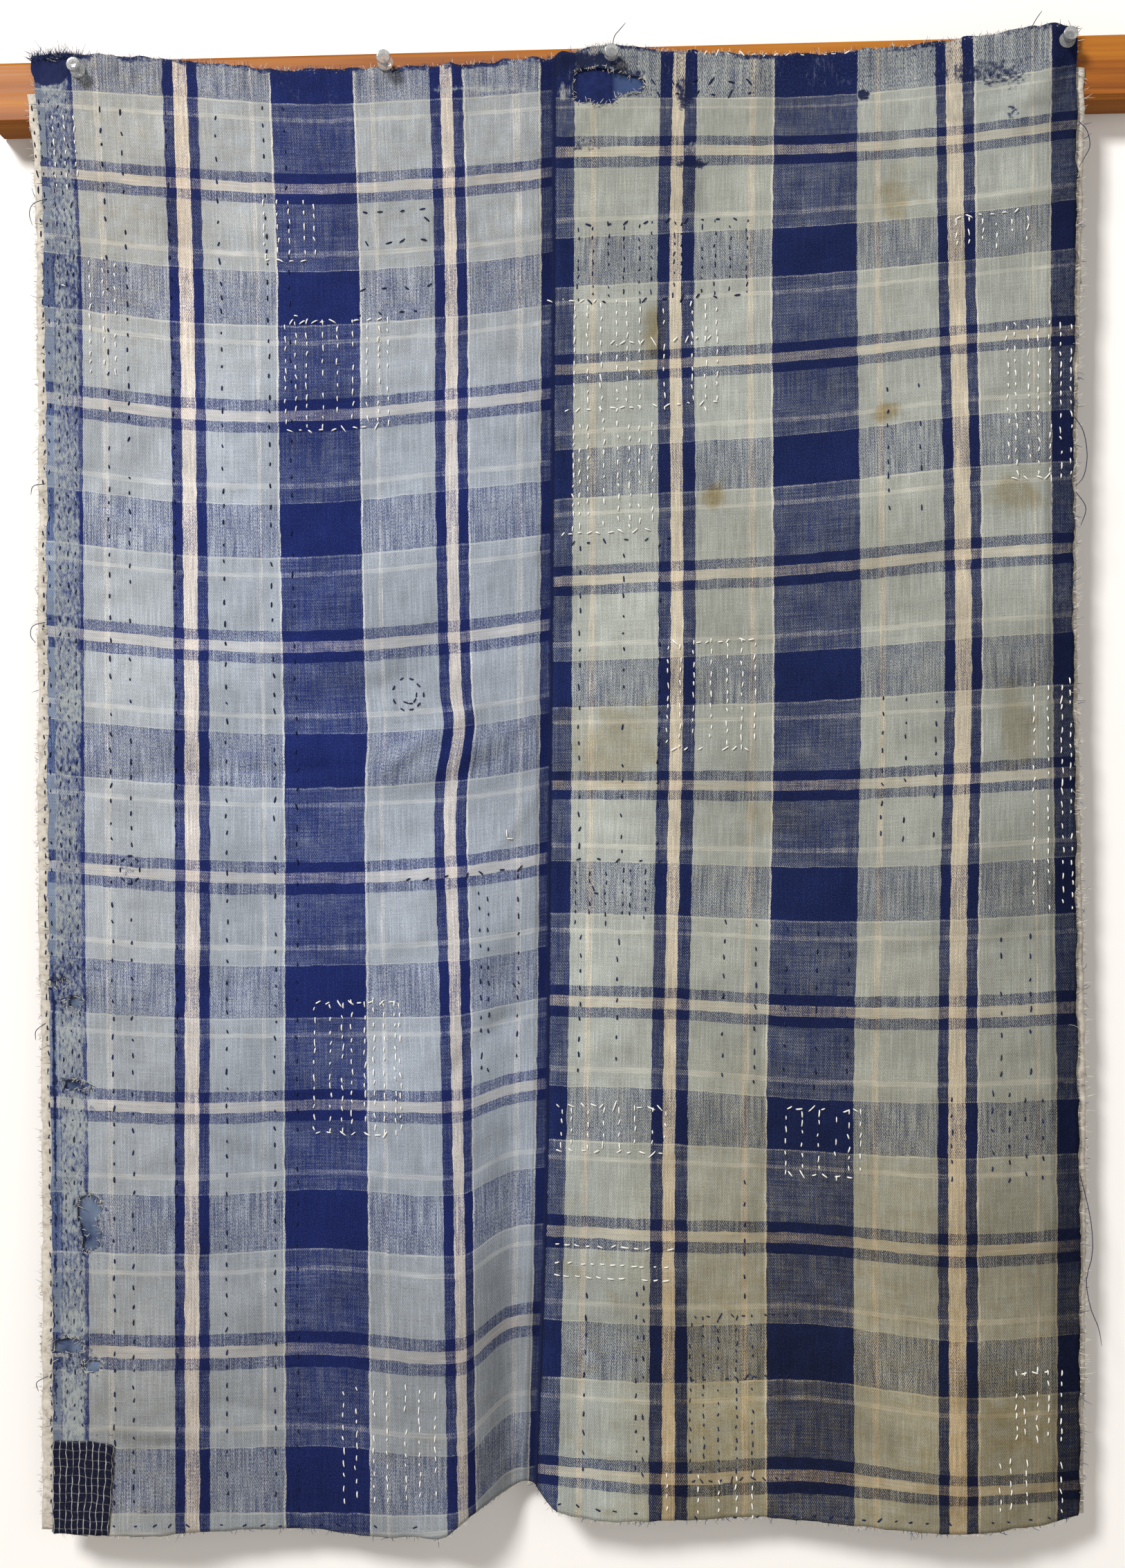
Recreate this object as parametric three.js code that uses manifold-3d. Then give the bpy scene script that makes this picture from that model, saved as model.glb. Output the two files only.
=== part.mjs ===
import * as THREE from "three";
import { mergeVertices } from "three/addons/utils/BufferGeometryUtils.js";
import Module from "manifold-3d";

// A boro cloth of two handwoven plaid panels, seamed, faced and mended, pinned to a plain wooden rail.
// Millimetres, +Z up. The cloth faces -Y. The origin is the middle of the rail's back, which lies on a wall.

const clothThickness = 1.4;
const patchThickness = 1.0;
const layerGap = 0.4;
const pinGap = 0.3;
const cutReach = 12;

const rail = { length: 740, height: 40, depth: 24, easedEdge: 2.5 };

// the cloth's back hangs this far in front of the rail, which leaves room for a mend and a facing behind it
const clothStandOff = 3.2;
const clothBackY = -rail.depth - clothStandOff;

const pin = {
  needleRadius: 0.6,
  needleTip: 2,
  needleInRail: 9,
  flangeRadius: 5,
  flangeThickness: 1.6,
  waistRadius: 2.6,
  waistLength: 5,
  headRadius: 4.4,
  headThickness: 3.6,
  rounding: 0.8,
  sides: 16,
};

const pinPlaces = [
  { name: "pin_1", x: -310, z: 11, holds: "left" },
  { name: "pin_2", x: -112, z: 10.5, holds: "rail" },
  { name: "pin_3", x: 31, z: 10.5, holds: "right" },
  { name: "pin_4", x: 312, z: 14, holds: "right" },
];

// flat widths of the two panels, edge to seam, and of the lap that the left one runs behind the right
const leftWidth = 318;
const rightWidth = 328;
const lapWidth = 8;

// the cloth's fall at the seam, from its top hem down, for reading the upright lines
const fallTop = 20;
const fallLength = 925;

// the upright lines of the cloth as it hangs: x at each height
const uprightLines = [
  { z: 20, leftEdge: -341, seam: -5, rightEdge: 318 },
  { z: -50, leftEdge: -334, seam: -5, rightEdge: 318 },
  { z: -250, leftEdge: -331, seam: -6, rightEdge: 316 },
  { z: -560, leftEdge: -329, seam: -8.5, rightEdge: 319 },
  { z: -705, leftEdge: -327, seam: -10, rightEdge: 321 },
  { z: -905, leftEdge: -326, seam: -17, rightEdge: 321 },
];

// the top hem, which dips between the pins: z at each place across
const topHem = [
  { x: -341, z: 21 },
  { x: -313, z: 22 },
  { x: -245, z: 15.5 },
  { x: -190, z: 9 },
  { x: -120, z: 8 },
  { x: -60, z: 9.5 },
  { x: -5, z: 12.5 },
  { x: 25, z: 18.5 },
  { x: 75, z: 13.5 },
  { x: 150, z: 10 },
  { x: 235, z: 15 },
  { x: 300, z: 23.5 },
  { x: 321, z: 21 },
];

// the bottom hem, drawn up at the seam: z at each place across
const bottomHem = [
  { x: -326, z: -924 },
  { x: -177, z: -919.5 },
  { x: -82, z: -919.5 },
  { x: -54, z: -902.5 },
  { x: -33, z: -894 },
  { x: -17, z: -889.5 },
  { x: -4, z: -901 },
  { x: 25, z: -907.5 },
  { x: 128, z: -905 },
  { x: 245, z: -907.5 },
  { x: 300, z: -903.5 },
  { x: 321, z: -899 },
];

// folds that open as the cloth falls: centre, first and full height, half width and rise towards the front
const hangingFolds = [
  { fold: "valley beside the seam", x: -30, from: -470, full: -900, halfWidth: 15, rise: -16 },
  { fold: "ridge on the double stripe", x: -68, from: -520, full: -900, halfWidth: 18, rise: 9 },
  { fold: "ridge on the seam", x: -7, from: -380, full: -880, halfWidth: 11, rise: 4 },
  { fold: "swell by the outer edge", x: -268, from: -420, full: -880, halfWidth: 46, rise: 6 },
  { fold: "trough in the left panel", x: -178, from: -480, full: -880, halfWidth: 36, rise: -4 },
  { fold: "trough in the right panel", x: 120, from: -560, full: -890, halfWidth: 30, rise: -5 },
  { fold: "sag in the right panel", x: 238, from: -520, full: -880, halfWidth: 40, rise: 7 },
  { fold: "turned right edge", x: 326, from: -150, full: -700, halfWidth: 24, rise: -5 },
];

// dents and humps of their own height
const localFolds = [
  { fold: "hump on the double stripe", x: -64, z: -420, halfWidth: 17, halfHeight: 30, rise: 5 },
  { fold: "dent under the hump", x: -84, z: -462, halfWidth: 30, halfHeight: 22, rise: -4 },
  { fold: "swell under the middle pin", x: 40, z: -90, halfWidth: 45, halfHeight: 70, rise: 2 },
  { fold: "slack between the pins", x: -180, z: -150, halfWidth: 70, halfHeight: 110, rise: 4 },
  { fold: "slack in the right panel", x: 190, z: -170, halfWidth: 60, halfHeight: 120, rise: 3 },
];

// places across each panel where its sheet is measured, from the outer edge and from the seam
const edgeStations = [0, 9, 18, 28, 40];
const leftMiddle = [60, 80, 100, 120, 140, 160, 180, 200, 220, 238];
const leftFold = [250, 259, 268, 276, 284, 292, 300, 309];
const leftLap = [leftWidth, leftWidth + lapWidth / 2, leftWidth + lapWidth];
const leftStations = [...edgeStations, ...leftMiddle, ...leftFold, ...leftLap];
const rightLap = [0, lapWidth / 2, lapWidth, lapWidth + 2];
const rightMiddle = [32, 54, 76, 98, 120, 142, 164, 186, 208, 230, 250, 268, 284];
const rightOuter = [300, 310, 319, rightWidth];
const rightStations = [...rightLap, ...rightMiddle, ...rightOuter];

// shares of the fall at which the sheets are measured, with a row at the top and three over the corner patch
const topRow = 0.025;
const patchRow = 0.939;
const middleRows = 34;
const patchRows = 3;
const mendRows = { from: 0.6, to: 0.92 };
const hemPatchRows = 3;
const hemPatchEnd = 80;
const rows = [0];
for (let i = 0; i <= middleRows; i += 1) rows.push(topRow + ((patchRow - topRow) * i) / middleRows);
for (let i = 1; i <= patchRows; i += 1) rows.push(patchRow + ((1 - patchRow) * i) / patchRows);

// facings show past the panels by these widths, by height
const facingShows = [
  { z: 0, left: 6.5, right: 5.5 },
  { z: -100, left: 6, right: 4.5 },
  { z: -280, left: 6.5, right: 2.5 },
  { z: -450, left: 8, right: 3.5 },
  { z: -600, left: 7, right: 5.5 },
  { z: -780, left: 8, right: 4 },
  { z: -905, left: 8.5, right: 3 },
];

// the torn place in the right panel's top, through which the hem patch shows
const tear = [
  { x: 7, z: 3 },
  { x: 15, z: 4.5 },
  { x: 27, z: 3.5 },
  { x: 40, z: 1 },
  { x: 51, z: -3 },
  { x: 52, z: -10 },
  { x: 41, z: -12 },
  { x: 34, z: -16.5 },
  { x: 20, z: -17 },
  { x: 8, z: -15 },
];

const cottonBlue = { color: "#8d98ab", roughness: 0.92, metalness: 0 };
const cottonGrey = { color: "#8b9194", roughness: 0.92, metalness: 0 };
const cottonCream = { color: "#d2cabb", roughness: 0.94, metalness: 0 };
const cottonIndigo = { color: "#27366e", roughness: 0.92, metalness: 0 };
const cottonCheck = { color: "#262a3d", roughness: 0.92, metalness: 0 };
const oiledWood = { color: "#a9703b", roughness: 0.6, metalness: 0 };
const clearPlastic = { color: "#dfe4e4", roughness: 0.1, metalness: 0 };

const wasm = await Module();
wasm.setup();

// a smooth curve through a table's rows, from one column to another
function along(table, fromColumn, at, toColumn) {
  const last = table.length - 1;
  const rising = table[last][fromColumn] > table[0][fromColumn];
  let i = 0;
  while (i < last - 1 && (rising ? at > table[i + 1][fromColumn] : at < table[i + 1][fromColumn])) i += 1;
  const slope = (k) => {
    const before = table[Math.max(k - 1, 0)];
    const after = table[Math.min(k + 1, last)];
    return (after[toColumn] - before[toColumn]) / (after[fromColumn] - before[fromColumn]);
  };
  const start = table[i];
  const end = table[i + 1];
  const span = end[fromColumn] - start[fromColumn];
  const t = Math.min(Math.max((at - start[fromColumn]) / span, 0), 1);
  const eased = t * t * (3 - 2 * t);
  const lead = slope(i) * span * t * (1 - t) * (1 - t);
  const trail = slope(i + 1) * span * t * t * (1 - t);
  return start[toColumn] * (1 - eased) + end[toColumn] * eased + lead - trail;
}

function easedStep(from, to, at) {
  const t = Math.min(Math.max((at - from) / (to - from), 0), 1);
  return t * t * (3 - 2 * t);
}

function bell(offset, halfWidth) {
  return Math.exp(-((offset / halfWidth) ** 2));
}

function foldRise(x, z) {
  let rise = 0;
  for (const f of hangingFolds) rise += f.rise * easedStep(f.from, f.full, z) * bell(x - f.x, f.halfWidth);
  for (const f of localFolds) rise += f.rise * bell(x - f.x, f.halfWidth) * bell(z - f.z, f.halfHeight);
  return rise;
}

// height of a point that is a share of the way down the cloth
function fallHeight(x, share) {
  const top = along(topHem, "x", x, "z");
  const bottom = along(bottomHem, "x", x, "z");
  return top + (bottom - top) * share;
}

// a point of the cloth's back, from its flat place across a panel and its share of the fall
function clothPoint(panel, across, share) {
  const height = fallTop - fallLength * share;
  const seam = along(uprightLines, "z", height, "seam");
  const leftEdge = along(uprightLines, "z", height, "leftEdge");
  const rightEdge = along(uprightLines, "z", height, "rightEdge");
  const inLap = panel === "left" && across > leftWidth;
  const fromSeam = inLap ? across - leftWidth : across;
  const x = panel === "left" && !inLap
    ? leftEdge + ((seam - leftEdge) * across) / leftWidth
    : seam + ((rightEdge - seam) * fromSeam) / rightWidth;
  const z = fallHeight(x, share);
  return new THREE.Vector3(x, clothBackY - foldRise(x, z), z);
}

// the left panel passes behind the right one as it nears the seam
function lapDepth(across) {
  return (clothThickness + layerGap) * easedStep(leftWidth - 18, leftWidth - 1, across);
}

// a closed sheet from a grid of points on its back, each row running left to right and the rows going down
function sheet(grid, thickness) {
  const down = grid.length;
  const across = grid[0].length;
  const positions = [];
  for (const forward of [thickness, 0]) {
    for (const row of grid) {
      for (const p of row) positions.push(p.x, p.y - forward, p.z);
    }
  }
  const front = (j, i) => j * across + i;
  const back = (j, i) => down * across + j * across + i;
  const triangles = [];
  const quad = (a, b, c, d) => triangles.push(a, b, c, a, c, d);
  for (let j = 0; j < down - 1; j += 1) {
    for (let i = 0; i < across - 1; i += 1) {
      quad(front(j, i), front(j + 1, i), front(j + 1, i + 1), front(j, i + 1));
      quad(back(j, i), back(j, i + 1), back(j + 1, i + 1), back(j + 1, i));
    }
    const end = across - 1;
    quad(front(j, 0), back(j, 0), back(j + 1, 0), front(j + 1, 0));
    quad(front(j, end), front(j + 1, end), back(j + 1, end), back(j, end));
  }
  for (let i = 0; i < across - 1; i += 1) {
    const end = down - 1;
    quad(front(0, i), front(0, i + 1), back(0, i + 1), back(0, i));
    quad(front(end, i), back(end, i), back(end, i + 1), front(end, i + 1));
  }
  const geometry = new THREE.BufferGeometry();
  geometry.setAttribute("position", new THREE.Float32BufferAttribute(positions, 3));
  geometry.setIndex(triangles);
  return geometry;
}

function toSolid(geometry) {
  const bare = geometry.clone();
  bare.deleteAttribute("normal");
  bare.deleteAttribute("uv");
  const merged = mergeVertices(bare, 1e-4);
  const vertProperties = new Float32Array(merged.attributes.position.array);
  const triVerts = new Uint32Array(merged.index.array);
  return new wasm.Manifold(new wasm.Mesh({ numProp: 3, vertProperties, triVerts }));
}

function cutAway(geometry, cutters) {
  let solid = toSolid(geometry);
  for (const cutter of cutters) solid = solid.subtract(toSolid(cutter));
  const mesh = solid.getMesh();
  const result = new THREE.BufferGeometry();
  result.setAttribute("position", new THREE.Float32BufferAttribute(mesh.vertProperties, 3));
  result.setIndex(Array.from(mesh.triVerts));
  return result;
}

// a round hole along Y for a pin's needle, between two depths
function needleHole(place, fromY, toY) {
  const sides = 8;
  const hole = new THREE.CylinderGeometry(
    pin.needleRadius + pinGap, pin.needleRadius + pinGap, toY - fromY, sides,
  );
  hole.translate(place.x, (fromY + toY) / 2, place.z);
  return hole;
}

function clothHoles(panel) {
  const held = pinPlaces.filter((place) => place.holds === panel);
  return held.map((place) => needleHole(place, clothBackY - cutReach, clothBackY + cutReach));
}

function tearCutter() {
  const outline = new THREE.Shape(tear.map((p) => new THREE.Vector2(p.x, p.z)));
  const cutter = new THREE.ExtrudeGeometry(outline, { depth: 2 * cutReach, bevelEnabled: false });
  cutter.rotateX(Math.PI / 2);
  cutter.translate(0, clothBackY + cutReach, 0);
  return cutter;
}

function leftPanel() {
  const grid = rows.map((share) => leftStations.map((across) => {
    const p = clothPoint("left", across, share);
    p.y += lapDepth(across);
    return p;
  }));
  return cutAway(sheet(grid, clothThickness), clothHoles("left"));
}

function rightPanel() {
  const grid = rows.map((share) => rightStations.map((across) => clothPoint("right", across, share)));
  return cutAway(sheet(grid, clothThickness), [...clothHoles("right"), tearCutter()]);
}

// a strip of a panel's grid, moved back by whole layers or forward of the panel's face
function layerOf(panel, stations, shares, shiftY) {
  return shares.map((share) => stations.map((across) => {
    const p = clothPoint(panel, across, share);
    p.y += shiftY;
    return p;
  }));
}

const behindOne = patchThickness + layerGap;
const behindTwo = 2 * behindOne;

// a cream facing behind an outer edge, which it follows and passes
function facing(panel) {
  const isLeft = panel === "left";
  const stations = isLeft ? edgeStations.slice(0, -1) : rightOuter;
  const shares = rows.slice(1);
  const grid = layerOf(panel, stations, shares, behindTwo);
  for (const row of grid) {
    const edge = isLeft ? row[0] : row[row.length - 1];
    const shows = along(facingShows, "z", edge.z, panel);
    const past = edge.clone();
    past.x += isLeft ? -shows : shows;
    if (isLeft) row.unshift(past);
    else row.push(past);
  }
  return sheet(grid, patchThickness);
}

// an indigo mend between the left panel and its facing, seen through the worn places
function edgeMend() {
  const shares = rows.filter((share) => share > mendRows.from && share < mendRows.to);
  return sheet(layerOf("left", edgeStations, shares, behindOne), patchThickness);
}

// a navy patch behind the torn top of the right panel
function hemPatch() {
  const stations = rightStations.filter((across) => across > lapWidth && across < hemPatchEnd);
  const shares = rows.slice(0, hemPatchRows);
  const patch = sheet(layerOf("right", stations, shares, behindOne), patchThickness);
  return cutAway(patch, clothHoles("right"));
}

// a small checked patch on the face of the left panel's lower corner
function checkPatch() {
  const shares = rows.slice(-patchRows - 1);
  return sheet(layerOf("left", edgeStations, shares, -clothThickness - layerGap), patchThickness);
}

function railBoard() {
  const halfHeight = rail.height / 2;
  const eased = rail.easedEdge;
  const section = new THREE.Shape();
  section.moveTo(0, -halfHeight);
  section.lineTo(0, halfHeight);
  section.lineTo(rail.depth - eased, halfHeight);
  section.lineTo(rail.depth, halfHeight - eased);
  section.lineTo(rail.depth, -halfHeight + eased);
  section.lineTo(rail.depth - eased, -halfHeight);
  section.closePath();
  const board = new THREE.ExtrudeGeometry(section, { depth: rail.length, bevelEnabled: false });
  const turn = new THREE.Matrix4().makeBasis(
    new THREE.Vector3(0, -1, 0), new THREE.Vector3(0, 0, 1), new THREE.Vector3(-1, 0, 0),
  );
  board.applyMatrix4(turn);
  board.translate(rail.length / 2, 0, 0);
  const outside = -rail.depth - 1;
  const holeEnd = -rail.depth + pin.needleInRail + pinGap;
  return cutAway(board, pinPlaces.map((place) => needleHole(place, outside, holeEnd)));
}

// a push pin turned about its needle, with its flange against the cloth's face
function pushPin(place) {
  const clothFace = foldRise(place.x, place.z) + clothThickness - clothBackY;
  const flangeY = -clothFace - pinGap;
  const waistY = flangeY - pin.flangeThickness;
  const headY = waistY - pin.waistLength;
  const crownY = headY - pin.headThickness;
  const tipY = -rail.depth + pin.needleInRail;
  const profile = [
    new THREE.Vector2(0, crownY),
    new THREE.Vector2(pin.headRadius - pin.rounding, crownY),
    new THREE.Vector2(pin.headRadius, crownY + pin.rounding),
    new THREE.Vector2(pin.headRadius, headY - pin.rounding),
    new THREE.Vector2(pin.waistRadius, headY),
    new THREE.Vector2(pin.waistRadius, waistY),
    new THREE.Vector2(pin.flangeRadius, waistY + pin.rounding / 2),
    new THREE.Vector2(pin.flangeRadius, flangeY),
    new THREE.Vector2(pin.needleRadius, flangeY),
    new THREE.Vector2(pin.needleRadius, tipY - pin.needleTip),
    new THREE.Vector2(0, tipY),
  ];
  const geometry = new THREE.LatheGeometry(profile, pin.sides);
  geometry.translate(place.x, 0, place.z);
  return geometry;
}

const group = new THREE.Group();

function addNode(name, geometry, look) {
  const mesh = new THREE.Mesh(geometry, new THREE.MeshStandardMaterial(look));
  mesh.name = name;
  group.add(mesh);
}

addNode("rail", railBoard(), oiledWood);
addNode("left_panel", leftPanel(), cottonBlue);
addNode("right_panel", rightPanel(), cottonGrey);
addNode("left_facing", facing("left"), cottonCream);
addNode("right_facing", facing("right"), cottonCream);
addNode("edge_mend", edgeMend(), cottonIndigo);
addNode("hem_patch", hemPatch(), cottonIndigo);
addNode("check_patch", checkPatch(), cottonCheck);
for (const place of pinPlaces) addNode(place.name, pushPin(place), clearPlastic);

export default group;
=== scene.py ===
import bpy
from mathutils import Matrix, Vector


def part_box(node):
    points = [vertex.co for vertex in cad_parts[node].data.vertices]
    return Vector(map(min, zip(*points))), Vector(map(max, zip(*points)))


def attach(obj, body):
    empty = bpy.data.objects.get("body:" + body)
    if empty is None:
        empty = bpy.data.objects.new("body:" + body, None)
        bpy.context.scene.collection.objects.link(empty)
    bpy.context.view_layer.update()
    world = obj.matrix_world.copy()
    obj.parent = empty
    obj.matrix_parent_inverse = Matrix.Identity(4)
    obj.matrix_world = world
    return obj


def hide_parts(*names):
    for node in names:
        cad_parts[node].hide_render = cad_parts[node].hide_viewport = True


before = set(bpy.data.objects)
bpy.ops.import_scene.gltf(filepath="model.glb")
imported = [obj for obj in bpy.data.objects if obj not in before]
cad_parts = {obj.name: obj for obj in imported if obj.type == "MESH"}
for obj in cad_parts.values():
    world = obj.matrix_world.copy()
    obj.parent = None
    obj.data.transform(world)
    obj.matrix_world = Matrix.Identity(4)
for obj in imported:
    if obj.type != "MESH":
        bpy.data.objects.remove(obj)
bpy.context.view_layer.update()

import math
import bpy
import numpy as np
from mathutils import Vector

mm = 0.001  # the charts below are in millimetres and the mesh is in metres


# Camera, first because the charts of the cloth are read through it

photo = dict(
    width=1627,  # pixels
    height=2268,
    pixelsPerMm=2.3,  # on the cloth
    eyeDistance=1000,  # mm from the cloth
    turn=math.radians(3.2),  # the eye stands a little to the right
    aim=(0, -28, -445.2),  # mm, the middle of the picture
)
focalPixels = photo["eyeDistance"] * photo["pixelsPerMm"]
forward = np.array([-math.sin(photo["turn"]), math.cos(photo["turn"]), 0])
rightward = np.array([math.cos(photo["turn"]), math.sin(photo["turn"]), 0])
eye = np.array(photo["aim"]) - forward * photo["eyeDistance"]

camera = bpy.data.objects.new("camera", bpy.data.cameras.new("camera"))
bpy.context.scene.collection.objects.link(camera)
camera.location = eye * mm
camera.rotation_euler = Vector(forward).to_track_quat("-Z", "Y").to_euler()
camera.data.sensor_width = 36
camera.data.lens = 36 * focalPixels / photo["height"]
camera.data.clip_start = 0.01
bpy.context.scene.camera = camera


def toPhoto(x, y, z):  # millimetres to photo pixels
    dx, dy, dz = x - eye[0], y - eye[1], z - eye[2]
    depth = dx * forward[0] + dy * forward[1]
    side = dx * rightward[0] + dy * rightward[1]
    return photo["width"] / 2 + focalPixels * side / depth, photo["height"] / 2 - focalPixels * dz / depth


print("camera set")


# Small tools

def linear(hexColour):  # sRGB hex to linear
    parts = [int(hexColour[i:i + 2], 16) / 255 for i in (1, 3, 5)]
    return [c / 12.92 if c <= 0.04045 else ((c + 0.055) / 1.055) ** 2.4 for c in parts] + [1.0]


def eyeTone(hexColour):  # in even steps to the eye, in which the threads are mixed
    return [c ** (1 / 2.2) for c in linear(hexColour)[:3]] + [1]


def addNode(tree, kind, settings=None, inputs=None):  # one node with its settings and links
    node = tree.nodes.new("ShaderNode" + kind)
    for key, value in (settings or {}).items():
        setattr(node, key, value)
    for key, value in (inputs or {}).items():
        socket = node.inputs[key]
        if isinstance(value, bpy.types.NodeSocket):
            tree.links.new(value, socket)
        else:
            socket.default_value = value
    return node


def newMaterial(name):
    material = bpy.data.materials.new(name)
    material.use_nodes = True
    tree = material.node_tree
    return material, tree, tree.nodes["Principled BSDF"]


def setRamp(ramp, stops, mode="CONSTANT"):  # stops are (place, colour)
    ramp.interpolation = mode
    while len(ramp.elements) > 1:
        ramp.elements.remove(ramp.elements[-1])
    ramp.elements[0].position = stops[0][0]
    ramp.elements[0].color = stops[0][1]
    for place, colour in stops[1:]:
        ramp.elements.new(place).color = colour


def curveThrough(places, values, at):  # a smooth curve through a few known points
    places, values = np.asarray(places, float), np.asarray(values, float)
    if places[0] > places[-1]:
        places, values = places[::-1], values[::-1]
    before = np.maximum(np.arange(len(places)) - 1, 0)
    after = np.minimum(np.arange(len(places)) + 1, len(places) - 1)
    slopes = (values[after] - values[before]) / (places[after] - places[before])
    i = np.clip(np.searchsorted(places, at) - 1, 0, len(places) - 2)
    span = places[i + 1] - places[i]
    t = np.clip((at - places[i]) / span, 0, 1)
    eased = t * t * (3 - 2 * t)
    lead = slopes[i] * span * t * (1 - t) ** 2
    trail = slopes[i + 1] * span * t * t * (1 - t)
    return values[i] * (1 - eased) + values[i + 1] * eased + lead - trail


def easedStep(start, end, at):
    t = np.clip((at - start) / (end - start), 0, 1)
    return t * t * (3 - 2 * t)


def bell(offset, halfWidth):
    return np.exp(-(offset / halfWidth) ** 2)


def softNoise(a, b, size, seed):  # smooth noise from -1 to 1 with lumps of about this size
    cells = 64
    lattice = np.random.default_rng(seed).uniform(-1, 1, (cells, cells))
    a, b = np.asarray(a, float) / size, np.asarray(b, float) / size
    i, j = np.floor(a).astype(int), np.floor(b).astype(int)
    s, t = a - i, b - j
    s, t = s * s * (3 - 2 * s), t * t * (3 - 2 * t)
    pick = lambda di, dj: lattice[(i + di) % cells, (j + dj) % cells]
    top = pick(0, 0) * (1 - s) + pick(1, 0) * s
    return top * (1 - t) + (pick(0, 1) * (1 - s) + pick(1, 1) * s) * t


def column(table, name):
    return [row[name] for row in table]


def besideLine(a, b, start, end):  # how far on along a line, how far aside of it, and its length
    length = math.hypot(end[0] - start[0], end[1] - start[1])
    da, db = (end[0] - start[0]) / length, (end[1] - start[1]) / length
    onward = (a - start[0]) * da + (b - start[1]) * db
    aside = (a - start[0]) * db - (b - start[1]) * da
    return onward, aside, length


def lengthAlong(points):  # how far along a line each of its points is
    return np.concatenate([[0], np.cumsum(np.hypot(*np.diff(points, axis=0).T))])


def meshObject(name, points, edges, faces, material):
    mesh = bpy.data.meshes.new(name)
    mesh.from_pydata(points, edges, faces)
    mesh.materials.append(material)
    made = bpy.data.objects.new(name, mesh)
    bpy.context.scene.collection.objects.link(made)
    return made


def selectOnly(piece):
    bpy.ops.object.select_all(action="DESELECT")
    bpy.context.view_layer.objects.active = piece
    piece.select_set(True)


# How the cloth hangs, in the same charts as its solids

cloth = dict(
    backY=-27.2,  # mm, back of the panels where they hang straight
    solidThickness=1.4,
    thickness=0.7,  # a worn cotton twill
    leftWidth=318,
    rightWidth=328,
    lap=8,  # the left panel runs on behind the right
    lapDepth=1.8,
    fallTop=20,
    fallLength=925,
    gridStep=2.6,
)
leftW, rightW = cloth["leftWidth"], cloth["rightWidth"]
faceY = cloth["backY"] - (cloth["solidThickness"] + cloth["thickness"]) / 2

uprightLines = [  # x of the upright lines at each height
    dict(z=20, leftEdge=-341, seam=-5, rightEdge=318),
    dict(z=-50, leftEdge=-334, seam=-5, rightEdge=318),
    dict(z=-250, leftEdge=-331, seam=-6, rightEdge=316),
    dict(z=-560, leftEdge=-329, seam=-8.5, rightEdge=319),
    dict(z=-705, leftEdge=-327, seam=-10, rightEdge=321),
    dict(z=-905, leftEdge=-326, seam=-17, rightEdge=321),
]
topHem = dict(  # dips between the pins
    x=[-341, -313, -245, -190, -120, -60, -5, 25, 75, 150, 235, 300, 321],
    z=[21, 22, 15.5, 9, 8, 9.5, 12.5, 18.5, 13.5, 10, 15, 23.5, 21],
)
bottomHem = dict(  # drawn up at the seam
    x=[-326, -177, -82, -54, -33, -17, -4, 25, 128, 245, 300, 321],
    z=[-924, -919.5, -919.5, -902.5, -894, -889.5, -901, -907.5, -905, -907.5, -903.5, -899],
)
hangingFolds = [  # open as the cloth falls; rise is towards the front
    dict(fold="valley beside the seam", x=-30, start=-470, full=-900, halfWidth=15, rise=-16),
    dict(fold="ridge on the double stripe", x=-68, start=-520, full=-900, halfWidth=18, rise=9),
    dict(fold="ridge on the seam", x=-7, start=-380, full=-880, halfWidth=11, rise=4),
    dict(fold="swell by the outer edge", x=-268, start=-420, full=-880, halfWidth=46, rise=6),
    dict(fold="trough in the left panel", x=-178, start=-480, full=-880, halfWidth=36, rise=-4),
    dict(fold="trough in the right panel", x=120, start=-560, full=-890, halfWidth=30, rise=-5),
    dict(fold="sag in the right panel", x=238, start=-520, full=-880, halfWidth=40, rise=7),
    dict(fold="turned right edge", x=326, start=-150, full=-700, halfWidth=24, rise=-5),
]
localFolds = [
    dict(fold="hump on the double stripe", x=-64, z=-420, halfWidth=17, halfHeight=30, rise=5),
    dict(fold="dent under the hump", x=-84, z=-462, halfWidth=30, halfHeight=22, rise=-4),
    dict(fold="swell under the middle pin", x=40, z=-90, halfWidth=45, halfHeight=70, rise=2),
    dict(fold="slack between the pins", x=-180, z=-150, halfWidth=70, halfHeight=110, rise=4),
    dict(fold="slack in the right panel", x=190, z=-170, halfWidth=60, halfHeight=120, rise=3),
]


def foldRise(x, z):
    rise = np.zeros(np.shape(x))
    for f in hangingFolds:
        rise = rise + f["rise"] * easedStep(f["start"], f["full"], z) * bell(x - f["x"], f["halfWidth"])
    for f in localFolds:
        rise = rise + f["rise"] * bell(x - f["x"], f["halfWidth"]) * bell(z - f["z"], f["halfHeight"])
    return rise


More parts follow.
